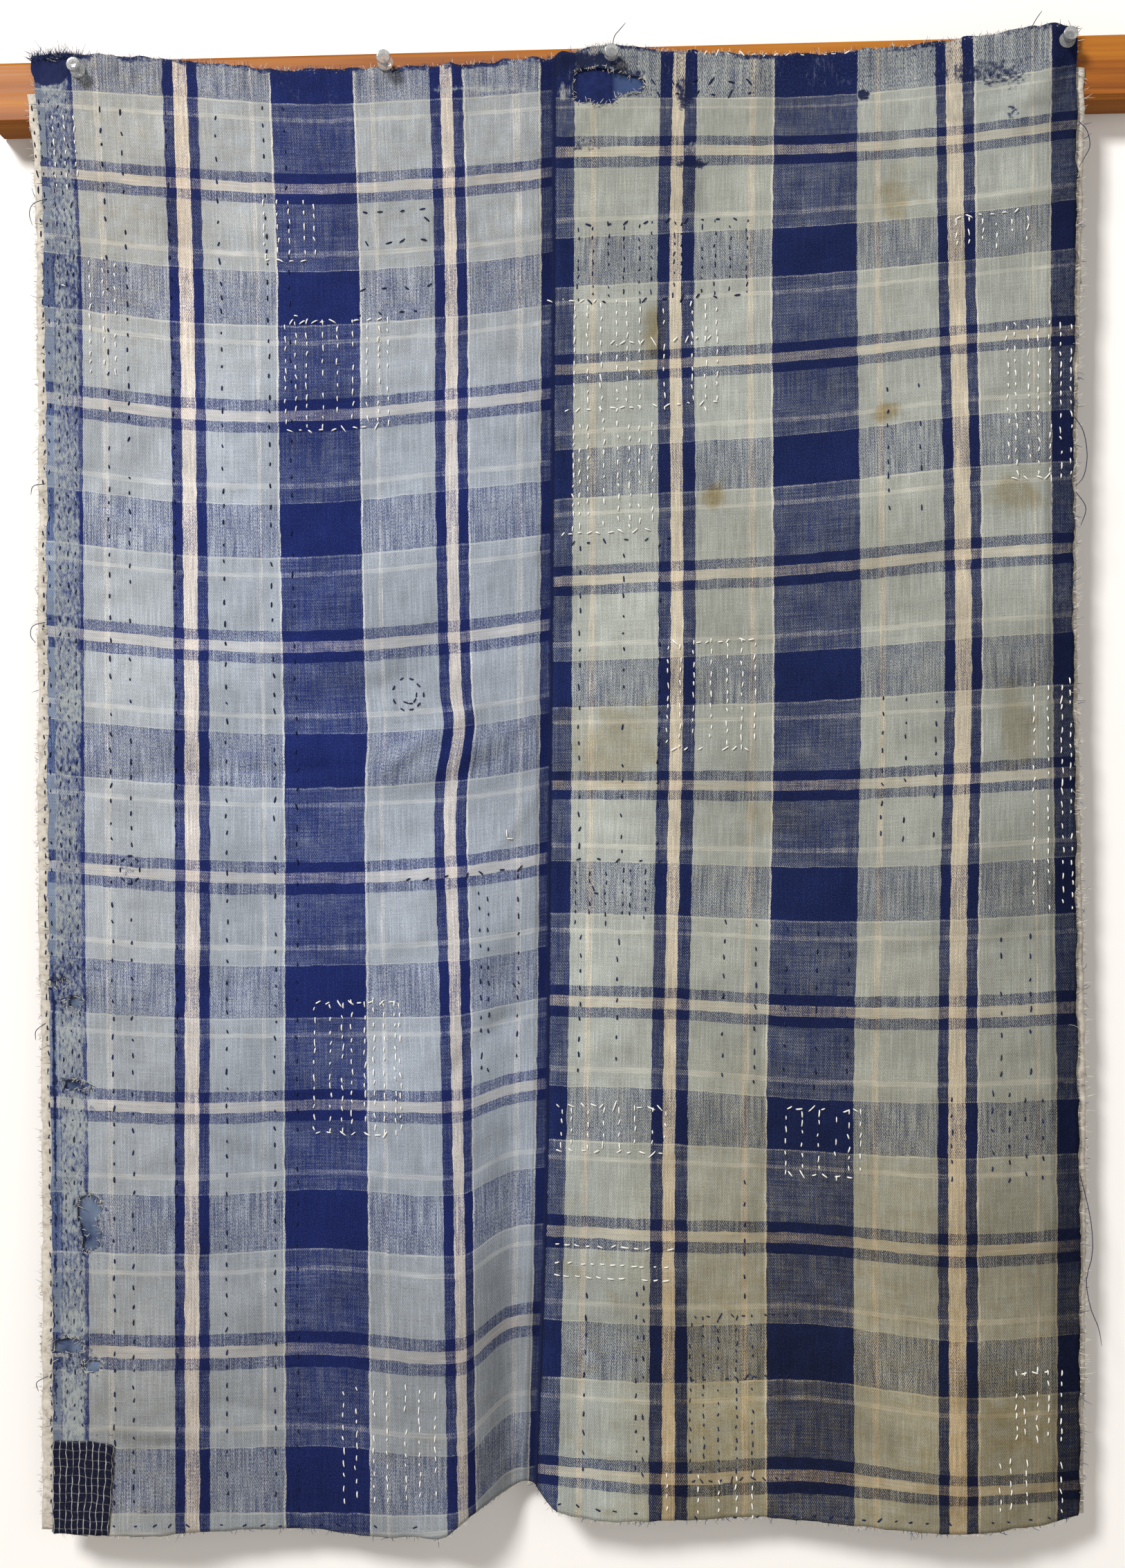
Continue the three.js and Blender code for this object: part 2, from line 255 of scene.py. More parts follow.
creases = [  # finer lines than the solids have, in photo pixels: ends, half width and rise in mm
    dict(x1=100, y1=1122, x2=530, y2=1112, halfWidth=3.5, rise=-0.9),
    dict(x1=540, y1=1128, x2=700, y2=1010, halfWidth=6, rise=1.4),
    dict(x1=600, y1=1160, x2=770, y2=1060, halfWidth=6, rise=-1.2),
    dict(x1=470, y1=1020, x2=640, y2=960, halfWidth=8, rise=-1.0),
    dict(x1=700, y1=1250, x2=790, y2=1130, halfWidth=5, rise=1.1),
    dict(x1=640, y1=1560, x2=770, y2=1450, halfWidth=6, rise=-1.0),
    dict(x1=120, y1=105, x2=250, y2=330, halfWidth=9, rise=1.2),
    dict(x1=125, y1=100, x2=180, y2=420, halfWidth=8, rise=-1.0),
    dict(x1=880, y1=90, x2=760, y2=330, halfWidth=9, rise=1.0),
    dict(x1=890, y1=90, x2=1010, y2=300, halfWidth=9, rise=1.0),
    dict(x1=1540, y1=60, x2=1420, y2=260, halfWidth=9, rise=1.3),
    dict(x1=1545, y1=60, x2=1500, y2=360, halfWidth=8, rise=-1.0),
    dict(x1=1100, y1=1000, x2=1108, y2=2190, halfWidth=4, rise=-0.9),
    dict(x1=1360, y1=900, x2=1352, y2=2150, halfWidth=4, rise=-0.7),
    dict(x1=940, y1=1150, x2=948, y2=1700, halfWidth=5, rise=0.8),
    dict(x1=250, y1=1640, x2=400, y2=1700, halfWidth=6, rise=-0.8),
    dict(x1=400, y1=560, x2=640, y2=540, halfWidth=7, rise=0.8),
    dict(x1=1250, y1=1380, x2=1540, y2=1345, halfWidth=6, rise=-0.8),
    dict(x1=1350, y1=196, x2=1530, y2=160, halfWidth=4, rise=-0.9),
    dict(x1=1340, y1=318, x2=1525, y2=282, halfWidth=5, rise=0.8),
    dict(x1=130, y1=2066, x2=270, y2=2082, halfWidth=3, rise=0.8),
    dict(x1=150, y1=2092, x2=280, y2=2100, halfWidth=3, rise=-0.7),
    dict(x1=290, y1=2040, x2=420, y2=2062, halfWidth=4, rise=-0.7),
    dict(x1=280, y1=900, x2=560, y2=930, halfWidth=6, rise=-0.7),
]


wrinkles = [  # the small unevenness of washed handwoven cloth, rise and size in mm
    dict(rise=1.1, size=38, seed=1),
    dict(rise=0.7, size=15, seed=2),
    dict(rise=0.34, size=6.5, seed=3),
    dict(rise=0.55, size=34, seed=8, narrow=3.4),  # puckers that run down between the rows of stitches
    dict(rise=0.45, size=32, seed=14, flat=3.0),  # and level ones across the panels
]


def photoToPlane(px, py):
    aside, up = px - photo["width"] / 2, photo["height"] / 2 - py
    return aside / photo["pixelsPerMm"], photo["aim"][2] + up / photo["pixelsPerMm"]


def fineRise(x, z):
    rise = np.zeros(np.shape(x))
    for w in wrinkles:
        lumps = softNoise(x * w.get("narrow", 1), z * w.get("flat", 1), w["size"], w["seed"])
        rise = rise + w["rise"] * lumps
    waver = 3 * softNoise(x, z, 45, 4)
    for c in creases:
        start, end = photoToPlane(c["x1"], c["y1"]), photoToPlane(c["x2"], c["y2"])
        onward, aside, length = besideLine(x, z, start, end)
        ends = easedStep(-0.15, 0.25, onward / length) * easedStep(1.15, 0.75, onward / length)
        rise = rise + 1.8 * c["rise"] * ends * bell(aside + waver, c["halfWidth"])
    return rise


def fallHeight(x, share):
    top = curveThrough(topHem["x"], topHem["z"], x)
    bottom = curveThrough(bottomHem["x"], bottomHem["z"], x)
    return top + (bottom - top) * share


def uprightAt(height, name):
    return curveThrough(column(uprightLines, "z"), column(uprightLines, name), height)


def clothPlace(panel, across, share):  # flat place to x and z as it hangs
    height = cloth["fallTop"] - cloth["fallLength"] * share
    seam = uprightAt(height, "seam")
    fromSeam = across - (leftW if panel == "left" else 0)
    x = seam + (uprightAt(height, "rightEdge") - seam) * fromSeam / rightW
    if panel == "left":
        leftEdge = uprightAt(height, "leftEdge")
        x = np.where(across > leftW, x, leftEdge + (seam - leftEdge) * across / leftW)
    return x, fallHeight(x, share)


def lapDepth(across):
    return cloth["lapDepth"] * easedStep(leftW - 18, leftW - 1, across)


def clothFace(x, z):  # y of the cloth's face, by place
    share = np.clip((cloth["fallTop"] - z) / cloth["fallLength"], 0, 1)
    height = cloth["fallTop"] - cloth["fallLength"] * share
    seam, leftEdge = uprightAt(height, "seam"), uprightAt(height, "leftEdge")
    across = leftW * (x - leftEdge) / (seam - leftEdge)
    lap = np.where(x < seam, lapDepth(across), 0)
    return faceY - foldRise(x, z) - fineRise(x, z) + lap


def fromPhoto(px, py):  # photo pixels to the point of the cloth's face that shows there
    px, py = np.asarray(px, float), np.asarray(py, float)
    side, up = (px - photo["width"] / 2) / focalPixels, (photo["height"] / 2 - py) / focalPixels
    ray = [forward[k] + rightward[k] * side for k in (0, 1)]
    y = np.full(px.shape, float(faceY))
    for _ in range(4):
        reach = (y - eye[1]) / ray[1]
        x, z = eye[0] + reach * ray[0], eye[2] + reach * up
        y = clothFace(x, z)
    return x, y, z


# The plaid, charted: where the wide weft bands and the stripes cross in the photo

plaid = dict(
    period=145,  # mm, one repeat of the weft
    twillPitch=1.1,  # mm, drawn coarser than the real twill so that it shows
    twillSlope=1.7,  # steepness of the twill lines
    threadWidth=0.95,  # mm, drawn coarser than the real thread so that it shows
    threadDrift=34,  # mm along a thread
)

leftChart = dict(
    across=[0, 89, 171.3, 254.3, 291.7, 318.3],  # flat places of the columns, mm from the outer edge
    weft=[  # photo rows of the wide bands' top edges at the columns, and the repeat they begin
        dict(repeat=0.07, rows=[78, 88, 100, 92, 88, 82]),
        dict(repeat=1, rows=[364, 387, 393, 382, 373, 363]),
        dict(repeat=2, rows=[704, 727, 728, 709, 701, 694]),
        dict(repeat=3, rows=[1039, 1057, 1062, 1052, 1041, 1030]),
        dict(repeat=4, rows=[1382, 1396, 1397, 1390, 1379, 1368]),
        dict(repeat=5, rows=[1724, 1730, 1720, 1729, 1696, 1688]),
        dict(repeat=6, rows=[2094, 2096, 2092, 2105, 2049, 2040]),
        dict(repeat=6.3, rows=[2218, 2216, 2216, 2210, 2154, 2143]),
    ],
    warp=[  # photo columns of the stripes' middles at these photo rows
        dict(row=90, columns=[48, 257, 447, 643, 729, 802]),
        dict(row=400, columns=[66, 267, 459, 651, 736, 801]),
        dict(row=700, columns=[67, 272, 461, 652, 738, 799]),
        dict(row=1000, columns=[68, 275, 468, 658, 739, 797]),
        dict(row=1050, columns=[68, 275, 470, 664, 740, 797]),
        dict(row=1130, columns=[69, 275, 471, 651, 738, 796]),
        dict(row=1210, columns=[69, 276, 471, 649, 737, 796]),
        dict(row=1400, columns=[71, 276, 471, 656, 737, 794]),
        dict(row=1720, columns=[77, 275, 471, 663, 733, 790]),
        dict(row=2200, columns=[78, 276, 473, 670, 733, 775]),
    ],
)
rightChart = dict(
    across=[0, 78.7, 164.8, 256.5, 327.8],
    weft=[
        dict(repeat=0.11, rows=[82, 74, 76, 58, 40]),
        dict(repeat=0.229, rows=[142, 142, 140, 122, 94]),
        dict(repeat=0.5476, rows=[196, 195, 194, 181, 158]),
        dict(repeat=1, rows=[345, 337, 327, 310, 289]),
        dict(repeat=2, rows=[652, 640, 627, 602, 592]),
        dict(repeat=3, rows=[957, 951, 941, 924, 914]),
        dict(repeat=4, rows=[1245, 1249, 1255, 1250, 1239]),
        dict(repeat=5, rows=[1570, 1576, 1590, 1596, 1589]),
        dict(repeat=6, rows=[1908, 1918, 1915, 1940, 1930]),
        dict(repeat=6.5476, rows=[2103, 2114, 2107, 2134, 2126]),
        dict(repeat=6.8, rows=[2178, 2202, 2202, 2212, 2200]),
    ],
    warp=[
        dict(row=80, columns=[802, 983, 1180, 1376, 1556]),
        dict(row=400, columns=[801, 977, 1176, 1381, 1553]),
        dict(row=700, columns=[799, 979, 1178, 1389, 1553]),
        dict(row=1000, columns=[797, 979, 1180, 1391, 1555]),
        dict(row=1300, columns=[796, 973, 1176, 1384, 1559]),
        dict(row=1600, columns=[791, 968, 1169, 1381, 1564]),
        dict(row=2180, columns=[775, 967, 1170, 1383, 1564]),
    ],
)


# straight lines between knots that differ from point to point, run on at the ends
def between(knots, values, at):
    result = np.zeros(np.shape(at))
    for k in range(len(knots) - 1):
        t = (at - knots[k]) / (knots[k + 1] - knots[k])
        here = np.ones(np.shape(at), bool)
        if k > 0:
            here &= t >= 0
        result = np.where(here, values[k] + (values[k + 1] - values[k]) * t, result)
    return result


def warpColumns(chart, py):
    rows, columns = column(chart["warp"], "row"), column(chart["warp"], "columns")
    return [curveThrough(rows, [c[k] for c in columns], py) for k in range(len(chart["across"]))]


def weftRows(chart, across):
    return [curveThrough(chart["across"], w["rows"], across) for w in chart["weft"]]


def plaidPlace(chart, px, py):  # flat mm across and repeats down, at a photo point
    across = between(warpColumns(chart, py), chart["across"], px)
    return across, between(weftRows(chart, across), column(chart["weft"], "repeat"), py)


def photoColumn(chart, across, py):
    return between([np.full(np.shape(across), a) for a in chart["across"]], warpColumns(chart, py), across)


def photoRow(chart, across, repeat):
    knots = [np.full(np.shape(across), w["repeat"]) for w in chart["weft"]]
    return between(knots, weftRows(chart, across), repeat)


print("charts ready")


# Materials

colours = dict(
    left=dict(
        navy="#1a2661", twin="#18225a", mid="#5f7092", pale="#a0a8b3", line="#b9bcc0", cream="#cfc7c2",
        white="#cfd1d1", worn="#abb0a9", inkAndShade="#1b2247",
    ),
    right=dict(
        navy="#16214f", twin="#151e49", mid="#4b5a7c", pale="#a5a9a3", line="#bdb6a6", cream="#cdc0aa",
        white="#cfccc0", worn="#b0aea4", inkAndShade="#181e3a",
    ),
)
# share of the face that a warp colour takes
warpCover = dict(navy=0.77, twin=0.84, mid=0.7, pale=0.77, line=0.74, cream=0.85, white=0.85)
# how far a weft band comes forward
weftLift = dict(navy=0.02, twin=0.2, pale=0.0, line=0.08, cream=0.16, white=0.15)

leftStripes = [  # warp of the left panel from its outer edge, mm
    ("mid", 4.3), ("navy", 17.4), ("white", 0.8), ("pale", 12.7), ("line", 3.9), ("pale", 39.6),
    ("twin", 6.1), ("cream", 8.3), ("twin", 6.5), ("white", 0.8),
    ("pale", 31.8), ("line", 2.6), ("pale", 10.5), ("white", 0.8),
    ("navy", 50.9), ("white", 0.8), ("pale", 9.6), ("line", 2.4), ("pale", 34.1),
    ("twin", 6.1), ("cream", 8.7), ("twin", 6.1), ("white", 0.8),
    ("pale", 30.1), ("line", 3.0), ("pale", 10.6), ("white", 0.8), ("navy", 16.2),
]
rightStripes = [  # warp of the right panel from the seam, mm
    ("navy", 12.0), ("white", 0.8), ("pale", 9.9), ("line", 3.9), ("pale", 40.3),
    ("twin", 6.6), ("cream", 8.7), ("twin", 6.9), ("white", 0.8),
    ("pale", 33.2), ("line", 3.4), ("pale", 10.5), ("white", 0.8),
    ("navy", 54.3), ("white", 0.8), ("pale", 11.7), ("line", 3.0), ("pale", 37.4),
    ("twin", 7.0), ("cream", 9.6), ("twin", 7.4), ("white", 0.8),
    ("pale", 31.9), ("line", 2.0), ("pale", 8.9), ("white", 0.8), ("navy", 16.2),
]
weftBands = [  # one repeat of the weft, as shares
    ("navy", 0.229), ("white", 0.007), ("pale", 0.058), ("white", 0.02), ("pale", 0.2336),
    ("twin", 0.0474), ("cream", 0.048), ("twin", 0.047),
    ("pale", 0.219), ("white", 0.022), ("pale", 0.062), ("white", 0.007),
]


def stripeStops(stripes, palette, strength):  # the alpha of a stop carries how strongly its threads show
    whole = sum(width for _, width in stripes)
    stops, at = [], 0
    for name, width in stripes:
        stops.append((at / whole, linear(palette[name])[:3] + [strength[name]]))
        at += width
    return stops, whole


def cottonFinish(tree, shader, colour, height, strength, depth, roughness):
    # cotton is matte and fibrous, with a shallow relief of its threads; depth in mm
    tree.links.new(colour, shader.inputs["Base Color"])
    bump = addNode(tree, "Bump", None, dict(Height=height, Strength=strength, Distance=depth * mm))
    tree.links.new(bump.outputs[0], shader.inputs["Normal"])
    shader.inputs["Roughness"].default_value = roughness
    shader.inputs["Specular IOR Level"].default_value = 0.1


def plaidCotton(name, palette, stripes, ribDepth, fleckSize):
    # Handwoven cotton twill: dyed stripes of warp under bands of weft, half tones where they cross,
    # slubby threads that streak each way, soft fading, stains and worn places. Matte and fibrous.
    # painted shade comes in too, from the mesh: darker down the cloth, and a dark line along the seam
    material, tree, shader = newMaterial(name)
    uv = addNode(tree, "UVMap", dict(uv_map="weave")).outputs[0]
    wander = addNode(tree, "TexNoise", None, dict(Vector=uv, Scale=1 / (11 * mm), Detail=3.0))
    centred = addNode(
        tree, "VectorMath", dict(operation="SUBTRACT"), {0: wander.outputs["Color"], 1: (0.5, 0.5, 0.5)},
    )
    moved = addNode(tree, "VectorMath", dict(operation="MULTIPLY_ADD"),
                    {0: centred.outputs[0], 1: (2.2 * mm, 2.2 * mm, 0), 2: uv})
    place = addNode(tree, "SeparateXYZ", None, {0: moved.outputs[0]})
    u, v = place.outputs[0], place.outputs[1]

    stops, whole = stripeStops(stripes, palette, warpCover)
    warpShare = addNode(tree, "Math", dict(operation="DIVIDE"), {0: u, 1: whole * mm})
    warp = addNode(tree, "ValToRGB", None, {0: warpShare.outputs[0]})
    setRamp(warp.color_ramp, stops)
    repeats = addNode(tree, "Math", dict(operation="DIVIDE"), {0: v, 1: plaid["period"] * mm})
    weftShare = addNode(tree, "Math", dict(operation="FRACT"), {0: repeats.outputs[0]})
    weft = addNode(tree, "ValToRGB", None, {0: weftShare.outputs[0]})
    setRamp(weft.color_ramp, stripeStops(weftBands, palette, weftLift)[0])

    # threads of uneven thickness and dye, long along the thread and narrow across it
    tones, lifts = [], []
    for long, thin, reach in ((1, 0, 0.27), (0, 1, 0.12)):  # the warp's threads stand out more
        scale = [0, 0, 0]
        scale[long] = 1 / (plaid["threadDrift"] * mm)
        scale[thin] = 1 / (plaid["threadWidth"] * mm)
        stretched = addNode(tree, "VectorMath", dict(operation="MULTIPLY"), {0: uv, 1: scale})
        streak = addNode(
            tree, "TexNoise", None, dict(Vector=stretched.outputs[0], Scale=1.0, Detail=3.0, Roughness=0.75),
        )
        tone = addNode(tree, "MapRange", None, {0: streak.outputs[0], 1: 0.3, 2: 0.7, 3: 0.85, 4: 1.15})
        tones.append(tone.outputs[0])
        lift = addNode(tree, "MapRange", None, {0: streak.outputs[0], 1: 0.3, 2: 0.7, 3: -reach, 4: reach})
        lifts.append(lift.outputs[0])
    threads = []
    for ramp, tone in ((warp, tones[0]), (weft, tones[1])):
        evened = addNode(tree, "Gamma", None, dict(Color=ramp.outputs[0], Gamma=1 / 2.2))
        dyed = addNode(tree, "HueSaturation", None, dict(Color=evened.outputs[0], Value=tone))
        threads.append(dyed.outputs[0])

    # twill: the warp shows more, in fine slanting lines
    slant = addNode(tree, "Math", dict(operation="MULTIPLY_ADD"), {0: v, 1: 1 / plaid["twillSlope"], 2: u})
    turns = addNode(
        tree, "Math", dict(operation="MULTIPLY"),
        {0: slant.outputs[0], 1: 2 * math.pi / (plaid["twillPitch"] * mm)},
    )
    ribs = addNode(tree, "Math", dict(operation="SINE"), {0: turns.outputs[0]})
    flecked = addNode(
        tree, "VectorMath", dict(operation="MULTIPLY"),
        {0: uv, 1: (1 / (fleckSize[0] * mm), 1 / (fleckSize[1] * mm), 0)},
    )
    fleck = addNode(tree, "TexNoise", None, dict(Vector=flecked.outputs[0], Scale=1.0, Detail=1.0))
    cover = addNode(
        tree, "Math", dict(operation="SUBTRACT"), {0: warp.outputs["Alpha"], 1: weft.outputs["Alpha"]},
    )
    # thick threads stand out, and the face is rubbed unevenly
    thick = addNode(tree, "Math", dict(operation="SUBTRACT"), {0: lifts[0], 1: lifts[1]})
    standing = addNode(tree, "Math", dict(operation="ADD"), {0: thick.outputs[0], 1: cover.outputs[0]})
    mottle = addNode(tree, "TexNoise", None, dict(Vector=uv, Scale=1 / (26 * mm), Detail=6.0, Roughness=0.75))
    mottled = addNode(tree, "Math", dict(operation="MULTIPLY_ADD"), {0: mottle.outputs[0], 1: 0.8, 2: -0.4})
    uneven = addNode(tree, "Math", dict(operation="ADD"), {0: standing.outputs[0], 1: mottled.outputs[0]})
    ribbed = addNode(
        tree, "Math", dict(operation="MULTIPLY_ADD"),
        {0: ribs.outputs[0], 1: ribDepth, 2: uneven.outputs[0]},
    )
    flecks = addNode(
        tree, "MapRange", dict(clamp=False), {0: fleck.outputs[0], 1: 0.0, 2: 1.0, 3: -0.65, 4: 0.65},
    )
    warpShows = addNode(
        tree, "Math", dict(operation="ADD", use_clamp=True), {0: ribbed.outputs[0], 1: flecks.outputs[0]},
    )
    woven = addNode(
        tree, "Mix", dict(data_type="RGBA"), {0: warpShows.outputs[0], 6: threads[1], 7: threads[0]},
    )

    # pale lint and rubbed thread tops, which show most on the dark dye
    lintNoise = addNode(
        tree, "TexNoise", None, dict(Vector=uv, Scale=1 / (0.7 * mm), Detail=2.0, Roughness=0.8),
    )
    lint = addNode(tree, "MapRange", None, {0: lintNoise.outputs[0], 1: 0.52, 2: 0.8, 3: 0.0, 4: 0.42})
    linted = addNode(tree, "Mix", dict(data_type="RGBA"),
                     {0: lint.outputs[0], 6: woven.outputs[2], 7: eyeTone(palette["pale"])})

    # fading in clouds, then the panel's tone from the mesh: fading of the dye, and painted shade darker down
    # the cloth
    cloud = addNode(tree, "TexNoise", None, dict(Vector=uv, Scale=1 / (70 * mm), Detail=4.0, Roughness=0.6))
    cloudTone = addNode(tree, "MapRange", None, {0: cloud.outputs[0], 1: 0.3, 2: 0.7, 3: 0.92, 4: 1.08})
    fadeAndShade = addNode(tree, "Attribute", dict(attribute_name="fadeAndShade"))
    grain = addNode(
        tree, "MapRange", dict(clamp=False), {0: fleck.outputs[0], 1: 0.0, 2: 1.0, 3: 0.8, 4: 1.2},
    )
    dulled = addNode(tree, "Math", dict(operation="MULTIPLY"), {0: cloudTone.outputs[0], 1: grain.outputs[0]})
    fadedAndShaded = addNode(tree, "Math", dict(operation="MULTIPLY"), {0: dulled.outputs[0], 1: fadeAndShade.outputs["Fac"]})
    agedAndShaded = addNode(tree, "HueSaturation", None, dict(Color=linted.outputs[2], Value=fadedAndShaded.outputs[0]))

    # brown stains, patchy at their edges
    soil = addNode(tree, "Attribute", dict(attribute_name="soil"))
    blotch = addNode(tree, "TexNoise", None, dict(Vector=uv, Scale=1 / (9 * mm), Detail=5.0, Roughness=0.65))
    blotchTone = addNode(tree, "MapRange", None, {0: blotch.outputs[0], 1: 0.3, 2: 0.68, 3: 0.6, 4: 1.15})
    soiled = addNode(
        tree, "Math", dict(operation="MULTIPLY", use_clamp=True),
        {0: soil.outputs["Fac"], 1: blotchTone.outputs[0]},
    )
    stained = addNode(tree, "Mix", dict(data_type="RGBA", blend_type="MULTIPLY"),
                      {0: soiled.outputs[0], 6: agedAndShaded.outputs[0], 7: eyeTone("#c2a064")})

    # worn places: the dyed face rubbed down to pale and dark specks
    wear = addNode(tree, "Attribute", dict(attribute_name="wear"))
    dashes = addNode(
        tree, "VectorMath", dict(operation="MULTIPLY"), {0: uv, 1: (1 / (1.7 * mm), 1 / (4.4 * mm), 0)},
    )
    rub = addNode(
        tree, "TexNoise", None, dict(Vector=dashes.outputs[0], Scale=1.0, Detail=4.0, Roughness=0.7),
    )
    rubbed = addNode(tree, "Math", dict(operation="ADD"), {0: rub.outputs[0], 1: wear.outputs["Fac"]})
    bare = addNode(
        tree, "MapRange", dict(interpolation_type="SMOOTHSTEP"),
        {0: rubbed.outputs[0], 1: 0.82, 2: 1.2, 3: 0.0, 4: 0.85},
    )
    worn = addNode(tree, "Mix", dict(data_type="RGBA"),
                   {0: bare.outputs[0], 6: stained.outputs[2], 7: eyeTone(palette["worn"])})
    # darker dye and dark worn lines, and the painted shadow along the seam, from the mesh
    inkAndShade = addNode(tree, "Attribute", dict(attribute_name="inkAndShade"))
    crumb = addNode(tree, "TexNoise", None, dict(Vector=uv, Scale=1 / (3.0 * mm), Detail=4.0, Roughness=0.7))
    crumbled = addNode(tree, "Math", dict(operation="ADD"), {0: crumb.outputs[0], 1: inkAndShade.outputs["Fac"]})
    inkedAndShaded = addNode(
        tree, "MapRange", dict(interpolation_type="SMOOTHSTEP"),
        {0: crumbled.outputs[0], 1: 0.86, 2: 1.16, 3: 0.0, 4: 0.92},
    )
    darkened = addNode(tree, "Mix", dict(data_type="RGBA"),
                       {0: inkedAndShaded.outputs[0], 6: worn.outputs[2], 7: eyeTone(palette["inkAndShade"])})
    colour = addNode(tree, "Gamma", None, dict(Color=darkened.outputs[2], Gamma=2.2))

    # relief of the ribs and of single threads
    thread = addNode(tree, "Math", dict(operation="ADD"), {0: tones[0], 1: tones[1]})
    height = addNode(
        tree, "Math", dict(operation="MULTIPLY_ADD"), {0: ribs.outputs[0], 1: 0.25, 2: thread.outputs[0]},
    )
    cottonFinish(tree, shader, colour.outputs[0], height.outputs[0], strength=0.6, depth=0.45, roughness=0.95)
    return material


plainWeave = dict(pitch=0.9, slub=4)  # mm; the pitch is drawn coarser than real thread so that it shows


def plainCotton(name, base, dark, light, tint="#ffffff"):
    # Plain-weave cotton, undyed or piece-dyed: a fine even grid of threads, slubs and soft uneven dye
    material, tree, shader = newMaterial(name)
    uv = addNode(tree, "UVMap", dict(uv_map="weave")).outputs[0]
    parts = addNode(tree, "SeparateXYZ", None, {0: uv})
    waves = []
    for axis in (0, 1):
        turns = addNode(
            tree, "Math", dict(operation="MULTIPLY"),
            {0: parts.outputs[axis], 1: 2 * math.pi / (plainWeave["pitch"] * mm)},
        )
        waves.append(addNode(tree, "Math", dict(operation="SINE"), {0: turns.outputs[0]}).outputs[0])
    grid = addNode(tree, "Math", dict(operation="MULTIPLY"), {0: waves[0], 1: waves[1]})
    slubScale = 1 / (plainWeave["slub"] * mm)
    slub = addNode(tree, "TexNoise", None, dict(Vector=uv, Scale=slubScale, Detail=5.0, Roughness=0.65))
    ramp = addNode(tree, "ValToRGB", None, {0: slub.outputs[0]})
    setRamp(ramp.color_ramp, [(0.3, linear(dark)), (0.5, linear(base)), (0.72, linear(light))], "LINEAR")
    tone = addNode(tree, "MapRange", None, {0: grid.outputs[0], 1: -1.0, 2: 1.0, 3: 0.86, 4: 1.1})
    bleach = addNode(tree, "Attribute", dict(attribute_name="bleach"))
    bleached = addNode(
        tree, "Mix", dict(data_type="RGBA"), {0: bleach.outputs["Fac"], 6: ramp.outputs[0], 7: linear(tint)},
    )
    colour = addNode(tree, "HueSaturation", None, dict(Color=bleached.outputs[2], Value=tone.outputs[0]))
    cottonFinish(tree, shader, colour.outputs[0], grid.outputs[0], strength=0.4, depth=0.2, roughness=0.93)
    return material


checkLines = [  # warp then weft: pitch in mm, width as a share of it
    dict(axis=0, pitch=4.2, width=0.12, strength=0.62),
    dict(axis=1, pitch=5.1, width=0.1, strength=0.13),
]


def checkCotton(name):
    # Blackish indigo plain weave with fine white warp lines and fainter weft lines
    material, tree, shader = newMaterial(name)
    uv = addNode(tree, "UVMap", dict(uv_map="weave")).outputs[0]
    fray = addNode(tree, "TexNoise", None, dict(Vector=uv, Scale=1 / (1.2 * mm), Detail=2.0))
    waver = addNode(tree, "TexNoise", None, dict(Vector=uv, Scale=1 / (9 * mm), Detail=2.0))
    centred = addNode(
        tree, "VectorMath", dict(operation="SUBTRACT"), {0: waver.outputs["Color"], 1: (0.5, 0.5, 0.5)},
    )
    moved = addNode(
        tree, "VectorMath", dict(operation="MULTIPLY_ADD"),
        {0: centred.outputs[0], 1: (3.2 * mm, 3.2 * mm, 0), 2: uv},
    )
    parts = addNode(tree, "SeparateXYZ", None, {0: moved.outputs[0]})
    base = addNode(tree, "ValToRGB", None, {0: fray.outputs[0]})
    setRamp(base.color_ramp, [(0.3, linear("#0d0e1a")), (0.7, linear("#1d2037"))], "LINEAR")
    colour = base.outputs[0]
    patchy = addNode(tree, "TexNoise", None, dict(Vector=uv, Scale=1 / (5 * mm), Detail=3.0))
    for c in checkLines:
        along, strength = parts.outputs[c["axis"]], c["strength"]
        share = addNode(tree, "Math", dict(operation="DIVIDE"), {0: along, 1: c["pitch"] * mm})
        saw = addNode(tree, "Math", dict(operation="FRACT"), {0: share.outputs[0]})
        line = addNode(tree, "Math", dict(operation="LESS_THAN"), {0: saw.outputs[0], 1: c["width"]})
        broken = addNode(
            tree, "MapRange", None,
            {0: patchy.outputs[0], 1: 0.32, 2: 0.58, 3: strength * 0.15, 4: strength},
        )
        amount = addNode(tree, "Math", dict(operation="MULTIPLY"), {0: line.outputs[0], 1: broken.outputs[0]})
        mixed = addNode(
            tree, "Mix", dict(data_type="RGBA"), {0: amount.outputs[0], 6: colour, 7: linear("#d9d7d2")},
        )
        colour = mixed.outputs[2]
    cottonFinish(tree, shader, colour, fray.outputs[0], strength=0.4, depth=0.2, roughness=0.92)
    return material


def cottonThread(name, dark, light):
    # Loosely spun sewing cotton: matte, with tone that drifts along the strand
    material, tree, shader = newMaterial(name)
    where = addNode(tree, "TexCoord").outputs["Object"]
    drift = addNode(tree, "TexNoise", None, dict(Vector=where, Scale=1 / (2.5 * mm), Detail=2.0))
    ramp = addNode(tree, "ValToRGB", None, {0: drift.outputs[0]})
    setRamp(ramp.color_ramp, [(0.3, linear(dark)), (0.7, linear(light))], "LINEAR")
    cottonFinish(tree, shader, ramp.outputs[0], drift.outputs[0], strength=0.3, depth=0.15, roughness=0.9)
    return material


